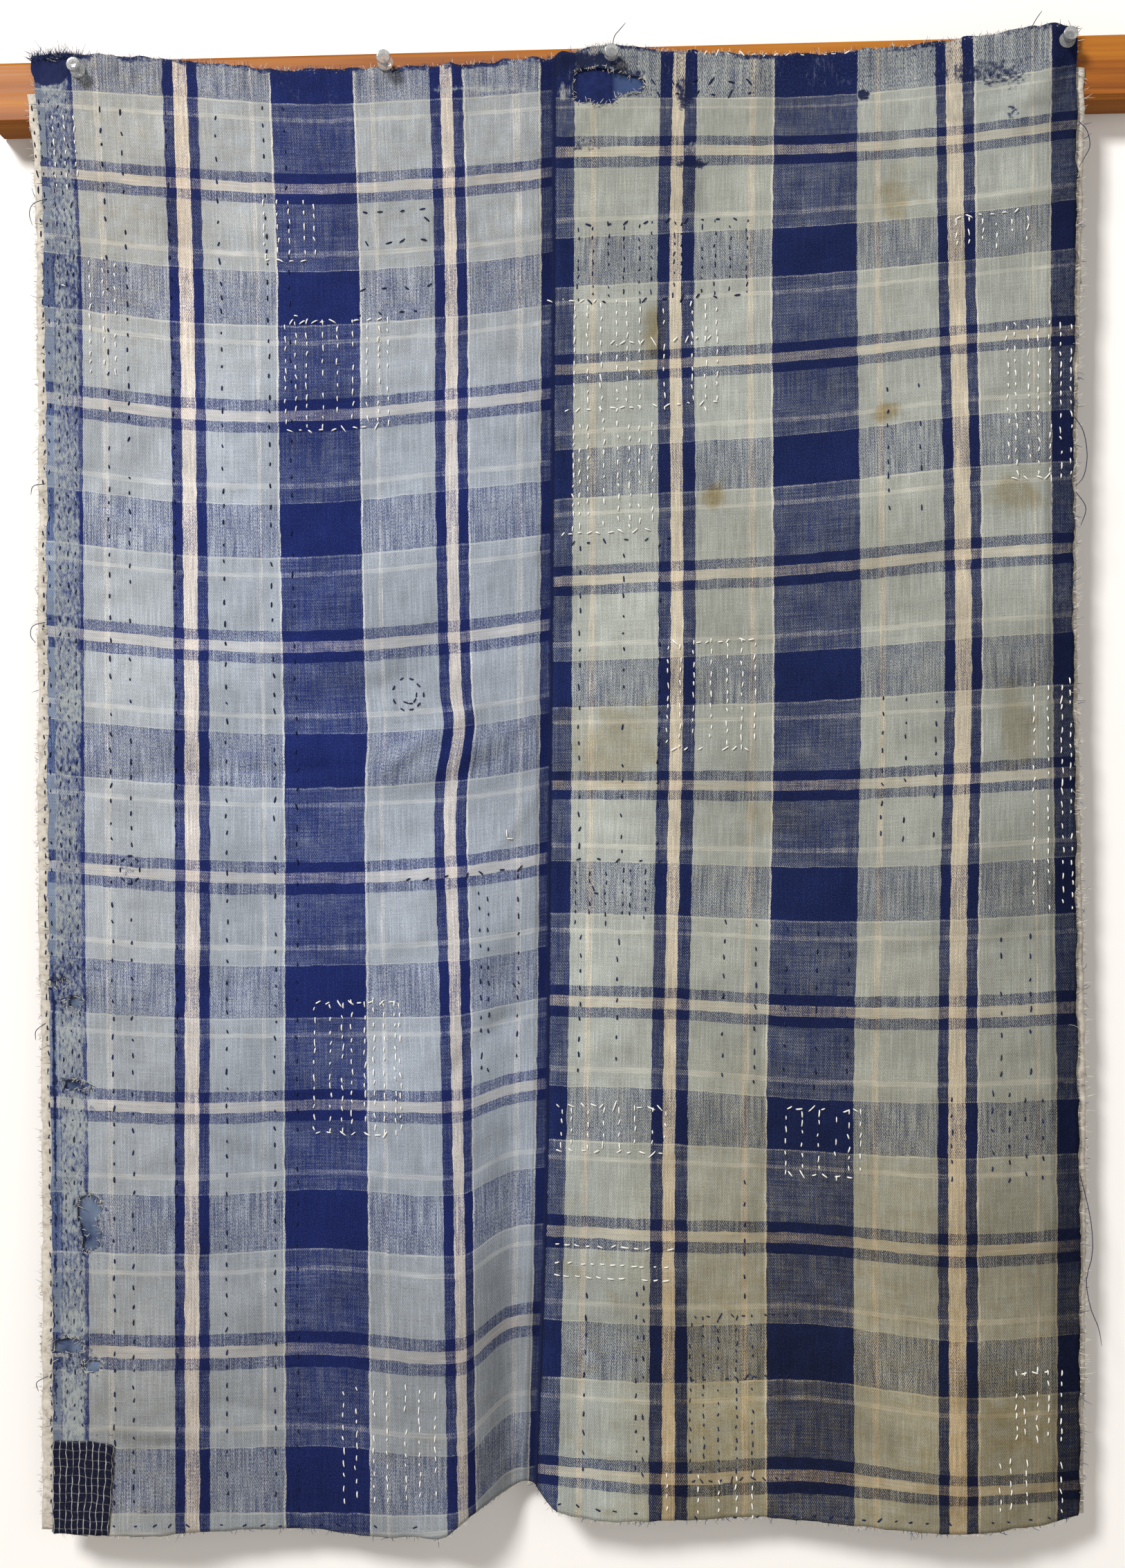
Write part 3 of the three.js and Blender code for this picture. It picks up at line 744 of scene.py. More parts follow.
def oiledSoftwood(name):
    # Planed softwood, oiled and darkened with age: long straight grain along the rail, satin
    material, tree, shader = newMaterial(name)
    where = addNode(tree, "TexCoord").outputs["Object"]
    grainPlace = addNode(tree, "Mapping", None, {0: where, 3: (2.2, 60, 60)})
    sway = addNode(
        tree, "TexNoise", None, dict(Vector=grainPlace.outputs[0], Scale=1.0, Detail=4.0, Distortion=0.4),
    )
    fibrePlace = addNode(tree, "Mapping", None, {0: where, 3: (14, 900, 900)})
    fibre = addNode(tree, "TexNoise", None, dict(Vector=fibrePlace.outputs[0], Scale=1.0, Detail=3.0))
    both = addNode(
        tree, "Math", dict(operation="MULTIPLY_ADD"), {0: fibre.outputs[0], 1: 0.35, 2: sway.outputs[0]},
    )
    ramp = addNode(tree, "ValToRGB", None, {0: both.outputs[0]})
    tones = [(0.42, linear("#673410")), (0.62, linear("#a05b16")), (0.85, linear("#b8731f"))]
    setRamp(ramp.color_ramp, tones, "LINEAR")
    tree.links.new(ramp.outputs[0], shader.inputs["Base Color"])
    gloss = addNode(tree, "MapRange", None, {0: fibre.outputs[0], 1: 0.3, 2: 0.7, 3: 0.42, 4: 0.6})
    tree.links.new(gloss.outputs[0], shader.inputs["Roughness"])
    shader.inputs["Specular IOR Level"].default_value = 0.3
    bump = addNode(tree, "Bump", None, dict(Height=both.outputs[0], Strength=0.25, Distance=0.3 * mm))
    tree.links.new(bump.outputs[0], shader.inputs["Normal"])
    return material


def clearStyrene(name):
    # Clear moulded polystyrene: glossy, faintly grey, a little scuffed
    material, tree, shader = newMaterial(name)
    where = addNode(tree, "TexCoord").outputs["Object"]
    scuff = addNode(tree, "TexNoise", None, dict(Vector=where, Scale=1 / (1.5 * mm), Detail=2.0))
    gloss = addNode(tree, "MapRange", None, {0: scuff.outputs[0], 1: 0.3, 2: 0.7, 3: 0.05, 4: 0.16})
    tree.links.new(gloss.outputs[0], shader.inputs["Roughness"])
    shader.inputs["Base Color"].default_value = linear("#f4f6f6")
    shader.inputs["Transmission Weight"].default_value = 0.78
    shader.inputs["IOR"].default_value = 1.59
    return material


def needleSteel(name):
    # Drawn steel wire: bright, with fine marks along it
    material, tree, shader = newMaterial(name)
    where = addNode(tree, "TexCoord").outputs["Object"]
    marks = addNode(tree, "TexNoise", None, dict(Vector=where, Scale=1 / (0.4 * mm), Detail=2.0))
    gloss = addNode(tree, "MapRange", None, {0: marks.outputs[0], 1: 0.3, 2: 0.7, 3: 0.25, 4: 0.45})
    tree.links.new(gloss.outputs[0], shader.inputs["Roughness"])
    shader.inputs["Base Color"].default_value = linear("#8f9092")
    shader.inputs["Metallic"].default_value = 1.0
    return material


# fleck sizes in mm, across and down
plaidBlue = plaidCotton(
    "faded_blue_plaid_twill", colours["left"], leftStripes, ribDepth=0.2, fleckSize=(0.5, 1.1),
)
plaidGrey = plaidCotton(
    "faded_grey_plaid_twill", colours["right"], rightStripes, ribDepth=0.36, fleckSize=(0.6, 0.9),
)
creamCotton = plainCotton("undyed_plain_cotton", "#cdc5b8", "#a0968a", "#e0dacf")
indigoCotton = plainCotton("indigo_plain_cotton", "#303b5e", "#1c2543", "#4d5b7c", "#76849a")
navyCotton = plainCotton("navy_plain_cotton", "#1d2752", "#192149", "#24305f", "#3f5077")
checkedCotton = checkCotton("dark_checked_cotton")
whiteThread = cottonThread("white_sewing_cotton", "#ece8df", "#fdfcf8")
darkThread = cottonThread("indigo_sewing_cotton", "#141a36", "#2b3458")
lintPale = cottonThread("pale_frayed_cotton", "#c9c2b4", "#efe9dd")
lintDark = cottonThread("indigo_frayed_cotton", "#1c2347", "#45527e")
softwood = oiledSoftwood("oiled_softwood")
styrene = clearStyrene("clear_styrene")
steel = needleSteel("drawn_steel_wire")
print("materials made")


# Sheets

def sheetObject(name, x, y, z, weave, extras, material, thickness, keep=None):
    # x, y, z and weave are grids, rows going down and columns left to right; y is the face
    down, across = x.shape
    points = np.stack([x, y, z], -1).reshape(-1, 3) * mm
    j, i = np.meshgrid(np.arange(down - 1), np.arange(across - 1), indexing="ij")
    first = (j * across + i).ravel()
    quads = np.stack([first, first + across, first + across + 1, first + 1], 1)
    if keep is not None:
        quads = quads[keep.ravel()]
    used, quads = np.unique(quads, return_inverse=True)
    quads = quads.reshape(-1, 4)
    piece = meshObject(name, points[used].tolist(), [], quads.tolist(), material)
    mesh = piece.data
    layer = mesh.uv_layers.new(name="weave")
    flat = weave.reshape(-1, 2)[used] * mm
    layer.uv.foreach_set("vector", flat[quads.ravel()].astype(np.float32).ravel())
    for key, values in extras.items():
        made = mesh.attributes.new(key, "FLOAT", "POINT")
        made.data.foreach_set("value", np.broadcast_to(values, x.shape).ravel()[used].astype(np.float32))
    selectOnly(piece)
    solid = piece.modifiers.new("thickness", "SOLIDIFY")
    solid.thickness = thickness * mm
    solid.offset = -1
    bpy.ops.object.modifier_apply(modifier=solid.name)
    bpy.ops.object.shade_smooth()
    return piece


def spots(table, px, py):  # the strongest of a chart of soft round spots
    amount = np.zeros(np.shape(px))
    ragged = 1 + 0.35 * softNoise(px, py, 26, 11) + 0.25 * softNoise(px, py, 11, 12)
    for s in table:
        across, down = (px - s["x"]) / s["wide"], (py - s["y"]) / s["tall"]
        amount = np.maximum(amount, s["amount"] * easedStep(1.25, 0.45, np.hypot(across, down) * ragged))
    return amount


stains = [  # centre, half sizes in photo pixels and strength
    dict(x=1292, y=280, wide=28, tall=34, amount=0.42),
    dict(x=947, y=485, wide=20, tall=50, amount=0.55),
    dict(x=1285, y=595, wide=20, tall=12, amount=0.6),
    dict(x=1032, y=720, wide=18, tall=20, amount=0.6),
    dict(x=1468, y=715, wide=48, tall=30, amount=0.4),
    dict(x=1470, y=1050, wide=30, tall=70, amount=0.35),
    dict(x=895, y=1080, wide=75, tall=65, amount=0.3),
    dict(x=1055, y=2100, wide=75, tall=110, amount=0.5),
    dict(x=1465, y=2060, wide=70, tall=85, amount=0.6),
    dict(x=1250, y=1990, wide=340, tall=260, amount=0.42),
    dict(x=1130, y=1180, wide=60, tall=40, amount=0.25),
    dict(x=1300, y=1500, wide=260, tall=200, amount=0.14),
    dict(x=160, y=2080, wide=90, tall=130, amount=0.25),
    dict(x=640, y=2120, wide=120, tall=70, amount=0.2),
]
paleSpots = [  # where the dye has gone
    dict(x=380, y=380, wide=330, tall=330, amount=0.05),
    dict(x=890, y=1000, wide=110, tall=560, amount=0.06),
    dict(x=1180, y=560, wide=240, tall=240, amount=0.03),
    dict(x=1055, y=2050, wide=80, tall=100, amount=0.05),
    dict(x=330, y=1200, wide=260, tall=200, amount=0.05),
    dict(x=220, y=880, wide=220, tall=260, amount=0.07),
    dict(x=585, y=1420, wide=80, tall=360, amount=0.07),
]
inkSpots = [  # darker, less faded dye; the first darkens the top-left corner
    dict(x=74, y=98, wide=46, tall=34, amount=1.05),
    dict(x=860, y=88, wide=60, tall=13, amount=0.7),
    dict(x=812, y=92, wide=22, tall=26, amount=0.6),
    dict(x=990, y=132, wide=17, tall=34, amount=0.6),
    dict(x=1462, y=160, wide=14, tall=20, amount=0.5),
    dict(x=1432, y=106, wide=82, tall=24, amount=0.5),
    dict(x=1250, y=136, wide=8, tall=8, amount=0.7),
    dict(x=1005, y=236, wide=28, tall=8, amount=0.55),
    dict(x=850, y=206, wide=26, tall=10, amount=0.4),
    dict(x=188, y=1258, wide=15, tall=20, amount=0.42),
    dict(x=98, y=1399, wide=36, tall=11, amount=0.42),
    dict(x=134, y=1404, wide=18, tall=16, amount=0.4),
    dict(x=68, y=1424, wide=14, tall=7, amount=0.7),
    dict(x=106, y=1452, wide=16, tall=14, amount=0.45),
    dict(x=110, y=1570, wide=26, tall=9, amount=0.55),
    dict(x=132, y=1606, wide=14, tall=9, amount=0.45),
    dict(x=130, y=1772, wide=24, tall=46, amount=0.5),
    dict(x=104, y=1962, wide=42, tall=34, amount=0.45),
]
wornSpots = [
    dict(x=95, y=1420, wide=40, tall=42, amount=0.42),
    dict(x=112, y=1588, wide=36, tall=34, amount=0.4),
    dict(x=128, y=1770, wide=28, tall=52, amount=0.4),
    dict(x=104, y=1965, wide=46, tall=40, amount=0.4),
    dict(x=690, y=129, wide=110, tall=6, amount=0.55),
    dict(x=850, y=203, wide=26, tall=9, amount=0.5),
    dict(x=1003, y=212, wide=28, tall=14, amount=0.5),
    dict(x=815, y=132, wide=10, tall=22, amount=0.6),
    dict(x=1430, y=100, wide=75, tall=12, amount=0.35),
    dict(x=744, y=1425, wide=8, tall=8, amount=0.5),
    dict(x=858, y=1285, wide=8, tall=8, amount=0.5),
]
tears = [  # torn outlines, in photo pixels
    dict(
        tear="top of the right panel",
        outline=[
            (830, 102), (848, 97), (875, 100), (903, 105), (930, 112), (937, 124), (928, 135), (910, 131),
            (894, 140), (890, 149), (832, 149), (828, 126),
        ],
    ),
    dict(
        tear="outer stripe, upper",
        outline=[
            (59, 1419), (70, 1416), (80, 1420), (92, 1414), (103, 1418), (97, 1424), (82, 1428), (62, 1428),
        ],
    ),
    dict(
        tear="outer stripe, by the band",
        outline=[(86, 1446), (100, 1442), (117, 1440), (120, 1452), (112, 1462), (102, 1458), (96, 1448)],
    ),
    dict(
        tear="outer stripe, second",
        outline=[(88, 1564), (104, 1560), (122, 1566), (134, 1572), (128, 1579), (112, 1574), (96, 1577)],
    ),
    dict(
        tear="outer stripe, third",
        outline=[
            (113, 1732), (128, 1726), (146, 1736), (149, 1752), (139, 1764), (147, 1782), (144, 1804),
            (130, 1814), (116, 1806), (121, 1788), (112, 1762),
        ],
    ),
    dict(
        tear="outer stripe, lower",
        outline=[(72, 1942), (92, 1933), (112, 1938), (124, 1950), (108, 1958), (92, 1954), (78, 1961)],
    ),
    dict(
        tear="outer stripe, lowest",
        outline=[(116, 1970), (138, 1963), (151, 1974), (138, 1986), (122, 1983)],
    ),
]
for t in tears:  # the torn line, in short uneven steps
    corners = np.array(t["outline"] + t["outline"][:1], float)
    reach = lengthAlong(corners)
    at = np.arange(0, reach[-1], 2.5)
    line = np.stack([np.interp(at, reach, corners[:, k]) for k in (0, 1)], 1)
    t["line"] = line + 1.6 * np.stack([softNoise(at, 0 * at, 7, 15), softNoise(at, 0 * at, 7, 16)], 1)


def insideLine(px, py, line):
    inside = np.zeros(px.shape, bool)
    for (x1, y1), (x2, y2) in zip(line, np.roll(line, -1, axis=0)):
        crosses = (y1 > py) != (y2 > py)
        inside ^= crosses & (px < x1 + (x2 - x1) * (py - y1) / (y2 - y1 + 1e-9))
    return inside


inkLines = [  # dark worn lines, in photo pixels
    dict(x1=78, y1=1405, x2=79, y2=2060, halfWidth=2.2, amount=0.85),
    dict(x1=118, y1=140, x2=121, y2=2075, halfWidth=2.4, amount=0.36),
    dict(x1=830, y1=98, x2=936, y2=108, halfWidth=4, amount=0.7),
    dict(x1=1380, y1=96, x2=1500, y2=84, halfWidth=5, amount=0.5),
    dict(x1=975, y1=240, x2=1030, y2=233, halfWidth=3, amount=0.7),
    dict(x1=830, y1=216, x2=872, y2=213, halfWidth=3, amount=0.6),
    dict(x1=110, y1=2075, x2=165, y2=2078, halfWidth=3, amount=0.5),
]


def inkAlong(px, py):
    amount = np.zeros(px.shape)
    waver = 1.6 * softNoise(px, py, 18, 17)
    for k in inkLines:
        onward, aside, length = besideLine(px, py, (k["x1"], k["y1"]), (k["x2"], k["y2"]))
        here = (onward > 0) & (onward < length)
        strength = k["amount"] * bell(aside + waver, k["halfWidth"] * 1.4)
        amount = np.maximum(amount, np.where(here, strength, 0))
    return amount


def raggedEdge(along, seed):  # uneven cut and worn edge, in mm
    return 0.8 * softNoise(along, 0 * along, 9, seed) + 0.45 * softNoise(along, 0 * along, 3.4, seed + 1)


panelTone = dict(  # soft changes of tone over a panel: photo pixels where each starts and is full
    left=dict(
        base=0.98,
        changes=[
            dict(y=(420, 900), amount=-0.05),  # painted shade: darker down the cloth, as the light falls off downwards
            dict(y=(1300, 2200), amount=-0.05),
            dict(x=(430, 240), amount=0.07),  # paler towards the outer edge
        ],
    ),
    right=dict(
        base=0.95,
        changes=[
            dict(y=(1700, 2100), amount=0.02),
            dict(x=(960, 880), y=(1150, 1400), until=(1900, 1720), amount=0.05),  # paler by the seam
            dict(x=(1330, 1480), y=(800, 1100), amount=-0.07),  # darker towards the outer edge
        ],
    ),
)
grime = dict(  # brown that comes on over a wide part of a panel
    left=[
        dict(y=(700, 300), amount=0.22),
        dict(x=(420, 170), amount=0.13),
        dict(y=(1650, 2050), amount=0.14),
    ],
    right=[dict(x=(850, 1000), y=(1350, 2080), amount=0.44)],
    cleaner=[dict(x=(1000, 860), y=(1100, 1300), amount=1)],  # by the seam, low down
)


def gradual(changes, px, py):  # the sum of soft changes over the photo
    total = np.zeros(np.shape(px))
    for change in changes:
        part = change["amount"]
        for side, at in (("x", px), ("y", py), ("until", py)):
            if side in change:
                part = part * easedStep(*change[side], at)
        total = total + part
    return total


hems = dict(top=12, bottom=11, rise=0.35, rollAt=3, rollWidth=3, rollRise=0.7)  # mm, doubled and rolled
seamRoll = dict(at=3.6, halfWidth=3.2, rise=1.2, tuck=0.7, tuckWidth=2)  # mm, the edge turned under


def makePanel(panel, chart, material):
    isLeft = panel == "left"
    width = leftW + cloth["lap"] if isLeft else rightW
    across = np.linspace(0, width, int(width / cloth["gridStep"]) + 1)
    share = np.linspace(0, 1, int(cloth["fallLength"] / cloth["gridStep"]) + 1)
    share, across = np.meshgrid(share, across, indexing="ij")
    x, z = clothPlace(panel, across, share)
    down = share * cloth["fallLength"]
    outer = across if isLeft else width - across
    x = x + (1 if isLeft else -1) * raggedEdge(down, 21 if isLeft else 31) * np.exp(-outer / 5)
    z = z + 1.6 * raggedEdge(x, 41) * np.exp(-down / 5)
    z = z + 0.6 * raggedEdge(x, 51) * np.exp(-(cloth["fallLength"] - down) / 5)
    lap = lapDepth(across) if isLeft else 0
    hem = easedStep(hems["top"] + 1, hems["top"] - 1, down)
    hem = hem + easedStep(hems["bottom"] + 1, hems["bottom"] - 1, cloth["fallLength"] - down)
    roll = hems["rollRise"] * bell(down - hems["rollAt"], hems["rollWidth"])
    y = faceY - foldRise(x, z) - fineRise(x, z) + lap - hems["rise"] * hem - roll
    if isLeft:  # the darned outer stripe is puckered
        y = y - 0.45 * softNoise(x * 2.2, z, 7, 13) * easedStep(26, 18, across)
    else:  # the seam edge of the right panel is turned under, so it stands up in a soft roll
        y = y - seamRoll["rise"] * bell(across - seamRoll["at"], seamRoll["halfWidth"])
        y = y + seamRoll["tuck"] * easedStep(seamRoll["tuckWidth"], 0, across)
    px, py = toPhoto(x, y, z)
    u, repeat = plaidPlace(chart, px, py)
    weave = np.stack([u, repeat * plaid["period"]], -1)
    soil = spots(stains, px, py)
    pale = spots(paleSpots, px, py)
    # the tone holds fading of the dye and painted shade, darker down the cloth
    fadeAndShade = panelTone[panel]["base"] + pale + gradual(panelTone[panel]["changes"], px, py)
    if isLeft:  # dark by the seam
        fadeAndShade = fadeAndShade * (1 - 0.2 * easedStep(leftW - 9, leftW - 8, across))
    else:  # dark along the outer edge
        fadeAndShade = fadeAndShade * (1 - 0.22 * easedStep(17, 15, outer))
    wear = spots(wornSpots, px, py)
    inkAndShade = spots(inkSpots, px, py)
    if isLeft:  # the outer stripe is rubbed all the way down
        rubbed = 0.57 + 0.1 * softNoise(px, py, 60, 9)
        within = easedStep(24, 20, u + 1.2 * softNoise(px, py, 30, 5)) * easedStep(3, 5, u)
        wear = np.maximum(wear, rubbed * within)
        inkAndShade = np.maximum(inkAndShade, 0.95 * bell(across - leftW + 0.5, 2.0))  # shaded edge along the seam
        soil = np.maximum(soil, gradual(grime["left"], px, py))
    else:
        thin = (0.07 + 0.06 * softNoise(px, py, 160, 6)) * (1 - gradual(grime["cleaner"], px, py))
        dulled = thin + gradual(grime["right"], px, py)
        soil = np.maximum(soil, dulled * np.where(py < 1700, 1 - 12 * pale, 1))
        inkAndShade = np.maximum(inkAndShade, 0.8 * easedStep(2.6, 0.8, across))  # painted shadow on the other side of the seam too
        inkAndShade = np.maximum(inkAndShade, 0.4 * easedStep(16, 14, outer))
        wear = np.maximum(wear, 0.3 * easedStep(4, 1.5, outer))
    wear = np.maximum(wear, 0.3 * np.exp(-down / 2.5))
    # the rubbed top hem and its rolled edge
    wear = np.maximum(wear, (0.25 + 0.13 * softNoise(px, py, 24, 20)) * easedStep(26, 20, down))
    inkAndShade = np.maximum(inkAndShade, (0.5 + 0.25 * softNoise(px, py, 30, 10)) * easedStep(7, 1, down))
    inkAndShade = np.maximum(inkAndShade, inkAlong(px, py))
    holes = np.zeros(px.shape, bool)
    for t in tears:
        near = np.hypot(px[..., None] - t["line"][:, 0], py[..., None] - t["line"][:, 1])
        nearest, gap = t["line"][near.argmin(-1)], near.min(-1)
        inside = insideLine(px, py, t["line"])
        # what is left of the edge lies on the torn line
        x = np.where(inside, x + (nearest[..., 0] - px) / photo["pixelsPerMm"], x)
        z = np.where(inside, z - (nearest[..., 1] - py) / photo["pixelsPerMm"], z)
        holes |= inside
        ragged = 1 + 0.5 * softNoise(px, py, 9, 18)
        wear = np.maximum(wear, 0.62 * np.exp(-gap * ragged / 7))
        inkAndShade = np.maximum(inkAndShade, 0.6 * np.exp(-np.abs(gap - 5) / 5) * (softNoise(px, py, 12, 19) > 0.1))
    corner = holes[:-1, :-1].astype(int) + holes[1:, :-1] + holes[:-1, 1:] + holes[1:, 1:]
    extras = dict(soil=soil, fadeAndShade=fadeAndShade, wear=wear, inkAndShade=inkAndShade)
    return sheetObject(panel + "Panel", x, y, z, weave, extras, material, cloth["thickness"], corner < 4)


panels = dict(
    left=makePanel("left", leftChart, plaidBlue),
    right=makePanel("right", rightChart, plaidGrey),
)
print("panels hung")


layers = dict(
    solidThickness=1.0,  # mm
    thickness=0.55,
    behindOne=1.4,  # a mend behind the panel
    behindTwo=2.8,  # the facing behind that
    inFront=-1.8,  # the corner patch
    facingBehind=28,  # how far a facing reaches in behind its panel
    step=2.2,
)
facingShows = dict(  # how far the facings pass the panels, mm, by height
    z=[0, -100, -280, -450, -600, -780, -905],
    left=[6.5, 6, 6.5, 8, 7, 8, 8.5],
    right=[5.5, 4.5, 2.5, 3.5, 5.5, 4, 3],
)


def layerSheet(name, panel, acrossRange, shareRange, shift, material, seed, past=0, bleach=None, flare=0):
    # a smaller sheet that follows a panel's folds, some layers behind or in front of it
    across = np.linspace(*acrossRange, int((acrossRange[1] - acrossRange[0]) / layers["step"]) + 2)
    fall = (shareRange[1] - shareRange[0]) * cloth["fallLength"]
    share = np.linspace(*shareRange, int(fall / layers["step"]) + 2)
    share, across = np.meshgrid(share, across, indexing="ij")
    x, z = clothPlace(panel, across, share)
    if past:  # stretch the outer side past the panel's edge
        shows = curveThrough(facingShows["z"], facingShows[panel], z)
        inner, outer = (acrossRange[1], acrossRange[0]) if panel == "left" else acrossRange
        x = x + past * shows * (across - inner) / (outer - inner)
    middle = cloth["backY"] - layers["solidThickness"] / 2 + shift
    y = middle - layers["thickness"] / 2 - foldRise(x, z) - fineRise(x, z) * 0.8
    a, d = across - acrossRange[0], (share - shareRange[0]) * cloth["fallLength"]
    edgeA, edgeD = np.minimum(a, acrossRange[1] - across), np.minimum(d, fall - d)
    x = x + 0.7 * softNoise(d, 0 * d + seed, 6, seed) * np.exp(-edgeA / 3)
    z = z + 0.7 * softNoise(a, 0 * a + seed, 6, seed + 1) * np.exp(-edgeD / 3)
    if flare:  # wider and taller towards its upper outer corner
        up = 1 - d / fall
        x = x + flare * up * a / (acrossRange[1] - acrossRange[0])
        z = z + flare * up * np.sqrt(np.clip(1 - (a / (acrossRange[1] - acrossRange[0])) ** 8, 0, 1))
    weave = np.stack([a, d], -1)
    extras = dict(bleach=bleach(*toPhoto(x, y, z))) if bleach else {}
    return sheetObject(name, x, y, z, weave, extras, material, layers["thickness"])


# mm across the panel from its own left edge, and shares of the fall
inner = layers["facingBehind"]
leftFacing = layerSheet(
    "leftFacing", "left", (0, inner), (0.025, 1), layers["behindTwo"], creamCotton, seed=61, past=-1,
)
rightFacing = layerSheet(
    "rightFacing", "right", (rightW - inner, rightW), (0.025, 1), layers["behindTwo"], creamCotton,
    seed=63, past=1,
)
edgeMend = layerSheet(
    "edgeMend", "left", (1, 40), (0.603, 0.912), layers["behindOne"], indigoCotton,
    seed=65, bleach=lambda px, py: 0.5 + 0.5 * softNoise(px, py, 16, 24),
)
hemPatch = layerSheet(
    "hemPatch", "right", (11, 75), (0.004, 0.052), layers["behindOne"], navyCotton,
    seed=67, bleach=lambda px, py: easedStep(886, 892, px),
)
checkPatch = layerSheet(
    "checkPatch", "left", (0.5, 39), (0.9405, 0.9995), layers["inFront"], checkedCotton,
    seed=69, flare=3.5,
)
print("facings and patches made")


# Running stitches

stitching = dict(
    # pitch and length in photo pixels, the rest in mm
    white=dict(pitch=16, length=8.5, radius=0.44, lift=0.55),
    dark=dict(pitch=27, length=7.5, radius=0.5, lift=0.4),
    close=dict(pitch=15, length=6.5, radius=0.4, lift=0.33),
    edge=dict(pitch=23, length=7.5, radius=0.36, lift=0.3),
    facing=dict(pitch=22, length=9, radius=0.38, lift=0.3, sunk=3.05),
    sides=5,
    steps=4,
    rowSteps=33,
)
stitchColumns = [  # upright rows of stitches, in photo pixels
    dict(thread="white", columns=[79, 95, 110], top=160, bottom=280),
    dict(thread="white", columns=[131, 150, 167], top=375, bottom=545),
    dict(thread="white", columns=[382, 402, 419, 440, 455], top=286, bottom=377),
    dict(thread="white", columns=[413, 428, 444, 467, 488, 511, 531, 548, 561], top=461, bottom=622),
    dict(thread="white", columns=[455, 478, 495, 509, 528, 541, 556, 572, 579], top=1445, bottom=1645),
    dict(thread="white", columns=[497, 516, 541, 560, 587, 607, 630], top=2005, bottom=2180),
    dict(thread="dark", columns=[161, 190, 255, 328, 398, 430], top=150, bottom=2190),
    dict(thread="edge", columns=[73, 88, 100, 111], top=140, bottom=2070),
    dict(thread="facing", columns=[62], top=140, bottom=2190),
    dict(thread="dark", columns=[695, 706], top=1284, bottom=1553),
    dict(thread="dark", columns=[749], top=1253, bottom=1543),
    dict(thread="close", columns=[836, 857, 880, 902, 925, 942, 975, 985, 1015, 1034, 1055, 1080],
         top=318, bottom=437),
    dict(thread="dark", columns=[838, 901, 953], top=785, bottom=1243),
    dict(thread="close", columns=[832, 852, 876, 901, 911, 933], top=1255, bottom=1340),
    dict(thread="dark", columns=[838, 892], top=1350, bottom=1570),
    dict(thread="dark", columns=[1046, 1092], top=1330, bottom=1570),
    dict(thread="dark", columns=[845, 920, 930], top=1860, bottom=2140),
    dict(thread="dark", columns=[1077], top=1700, bottom=1885),
    dict(thread="close", columns=[998, 1017, 1039, 1065, 1088], top=1903, bottom=2140),
    dict(thread="dark", columns=[1285, 1331], top=545, bottom=760),
    dict(thread="dark", columns=[1276, 1309, 1352], top=1000, bottom=1220),
    dict(thread="dark", columns=[1135, 1180, 1226, 1448, 1490], top=1340, bottom=1580),
    dict(thread="dark", columns=[1376, 1436, 1460, 1484, 1508], top=1580, bottom=1720),
    dict(thread="white", columns=[809, 831, 850, 869, 892, 907, 925, 960, 1001, 1020, 1037],
         top=435, bottom=597),
    dict(thread="white", columns=[808, 829, 838, 850, 873, 894, 911, 925, 943], top=605, bottom=770),
    dict(thread="white", columns=[966, 984, 1003, 1028, 1052, 1073, 1092], top=925, bottom=1085),
    dict(thread="white", columns=[812, 826, 850, 873, 895, 918, 944, 962], top=1598, bottom=1667),
    dict(thread="white", columns=[965, 1010, 1040, 1065, 1088], top=2130, bottom=2198),
    dict(thread="white", columns=[1383, 1401, 1421, 1441, 1463, 1486], top=309, bottom=366),
    dict(thread="white", columns=[1458, 1469, 1488, 1502, 1518, 1534, 1549], top=465, bottom=697),
    dict(thread="white", columns=[1495, 1516, 1536, 1549], top=985, bottom=1325),
    dict(thread="white", columns=[1136, 1160, 1184, 1209, 1228, 1244], top=1603, bottom=1705),
    dict(thread="white", columns=[1470, 1482, 1500, 1516, 1535], top=1977, bottom=2090),
    dict(thread="white", columns=[1447, 1462, 1485, 1535], top=2115, bottom=2195),
]
stitchRows = [  # level rows of stitches; lean is how far their ends wander up and down
    dict(thread="white", rows=[465, 621], left=413, right=561, lean=2.5),
    dict(thread="white", rows=[1450, 1640], left=455, right=579, lean=3),
    dict(thread="white", rows=[377], left=382, right=455, lean=2.5),
    dict(thread="dark", rows=[305, 350, 417, 452], left=515, right=625, lean=2),
    dict(thread="dark", rows=[1266], left=585, right=770, lean=2),
    dict(thread="dark", rows=[2206], left=80, right=640, lean=2),
    dict(thread="dark", rows=[782, 1244], left=823, right=975, lean=2.5),
    dict(thread="dark", rows=[320, 432], left=840, right=1090, lean=3),
    dict(thread="close", rows=[1903, 1992, 2140], left=995, right=1155, lean=2.5),
    dict(thread="dark", rows=[2193], left=800, right=1550, lean=2),
    dict(thread="dark", rows=[86], left=1085, right=1365, lean=3),
    dict(thread="dark", rows=[118, 136], left=940, right=1110, lean=4),
    dict(thread="white", rows=[80], left=1003, right=1240, lean=4),
    dict(thread="white", rows=[435], left=783, right=870, lean=2.5),
    dict(thread="white", rows=[492], left=880, right=1040, lean=4),
    dict(thread="white", rows=[588], left=800, right=1040, lean=2.5),
    dict(thread="white", rows=[770], left=808, right=943, lean=2.5),
    dict(thread="white", rows=[928, 1083], left=966, right=1092, lean=2.5),
    dict(thread="white", rows=[1600, 1666], left=800, right=965, lean=3.5),
    dict(thread="white", rows=[1804, 1830, 1849], left=795, right=975, lean=0.8),
    dict(thread="white", rows=[309], left=1383, right=1490, lean=3),
    dict(thread="white", rows=[690], left=1458, right=1549, lean=3),
    dict(thread="white", rows=[1605, 1700], left=1136, right=1244, lean=3),
    dict(thread="white", rows=[1985], left=1470, right=1535, lean=2.5),
]
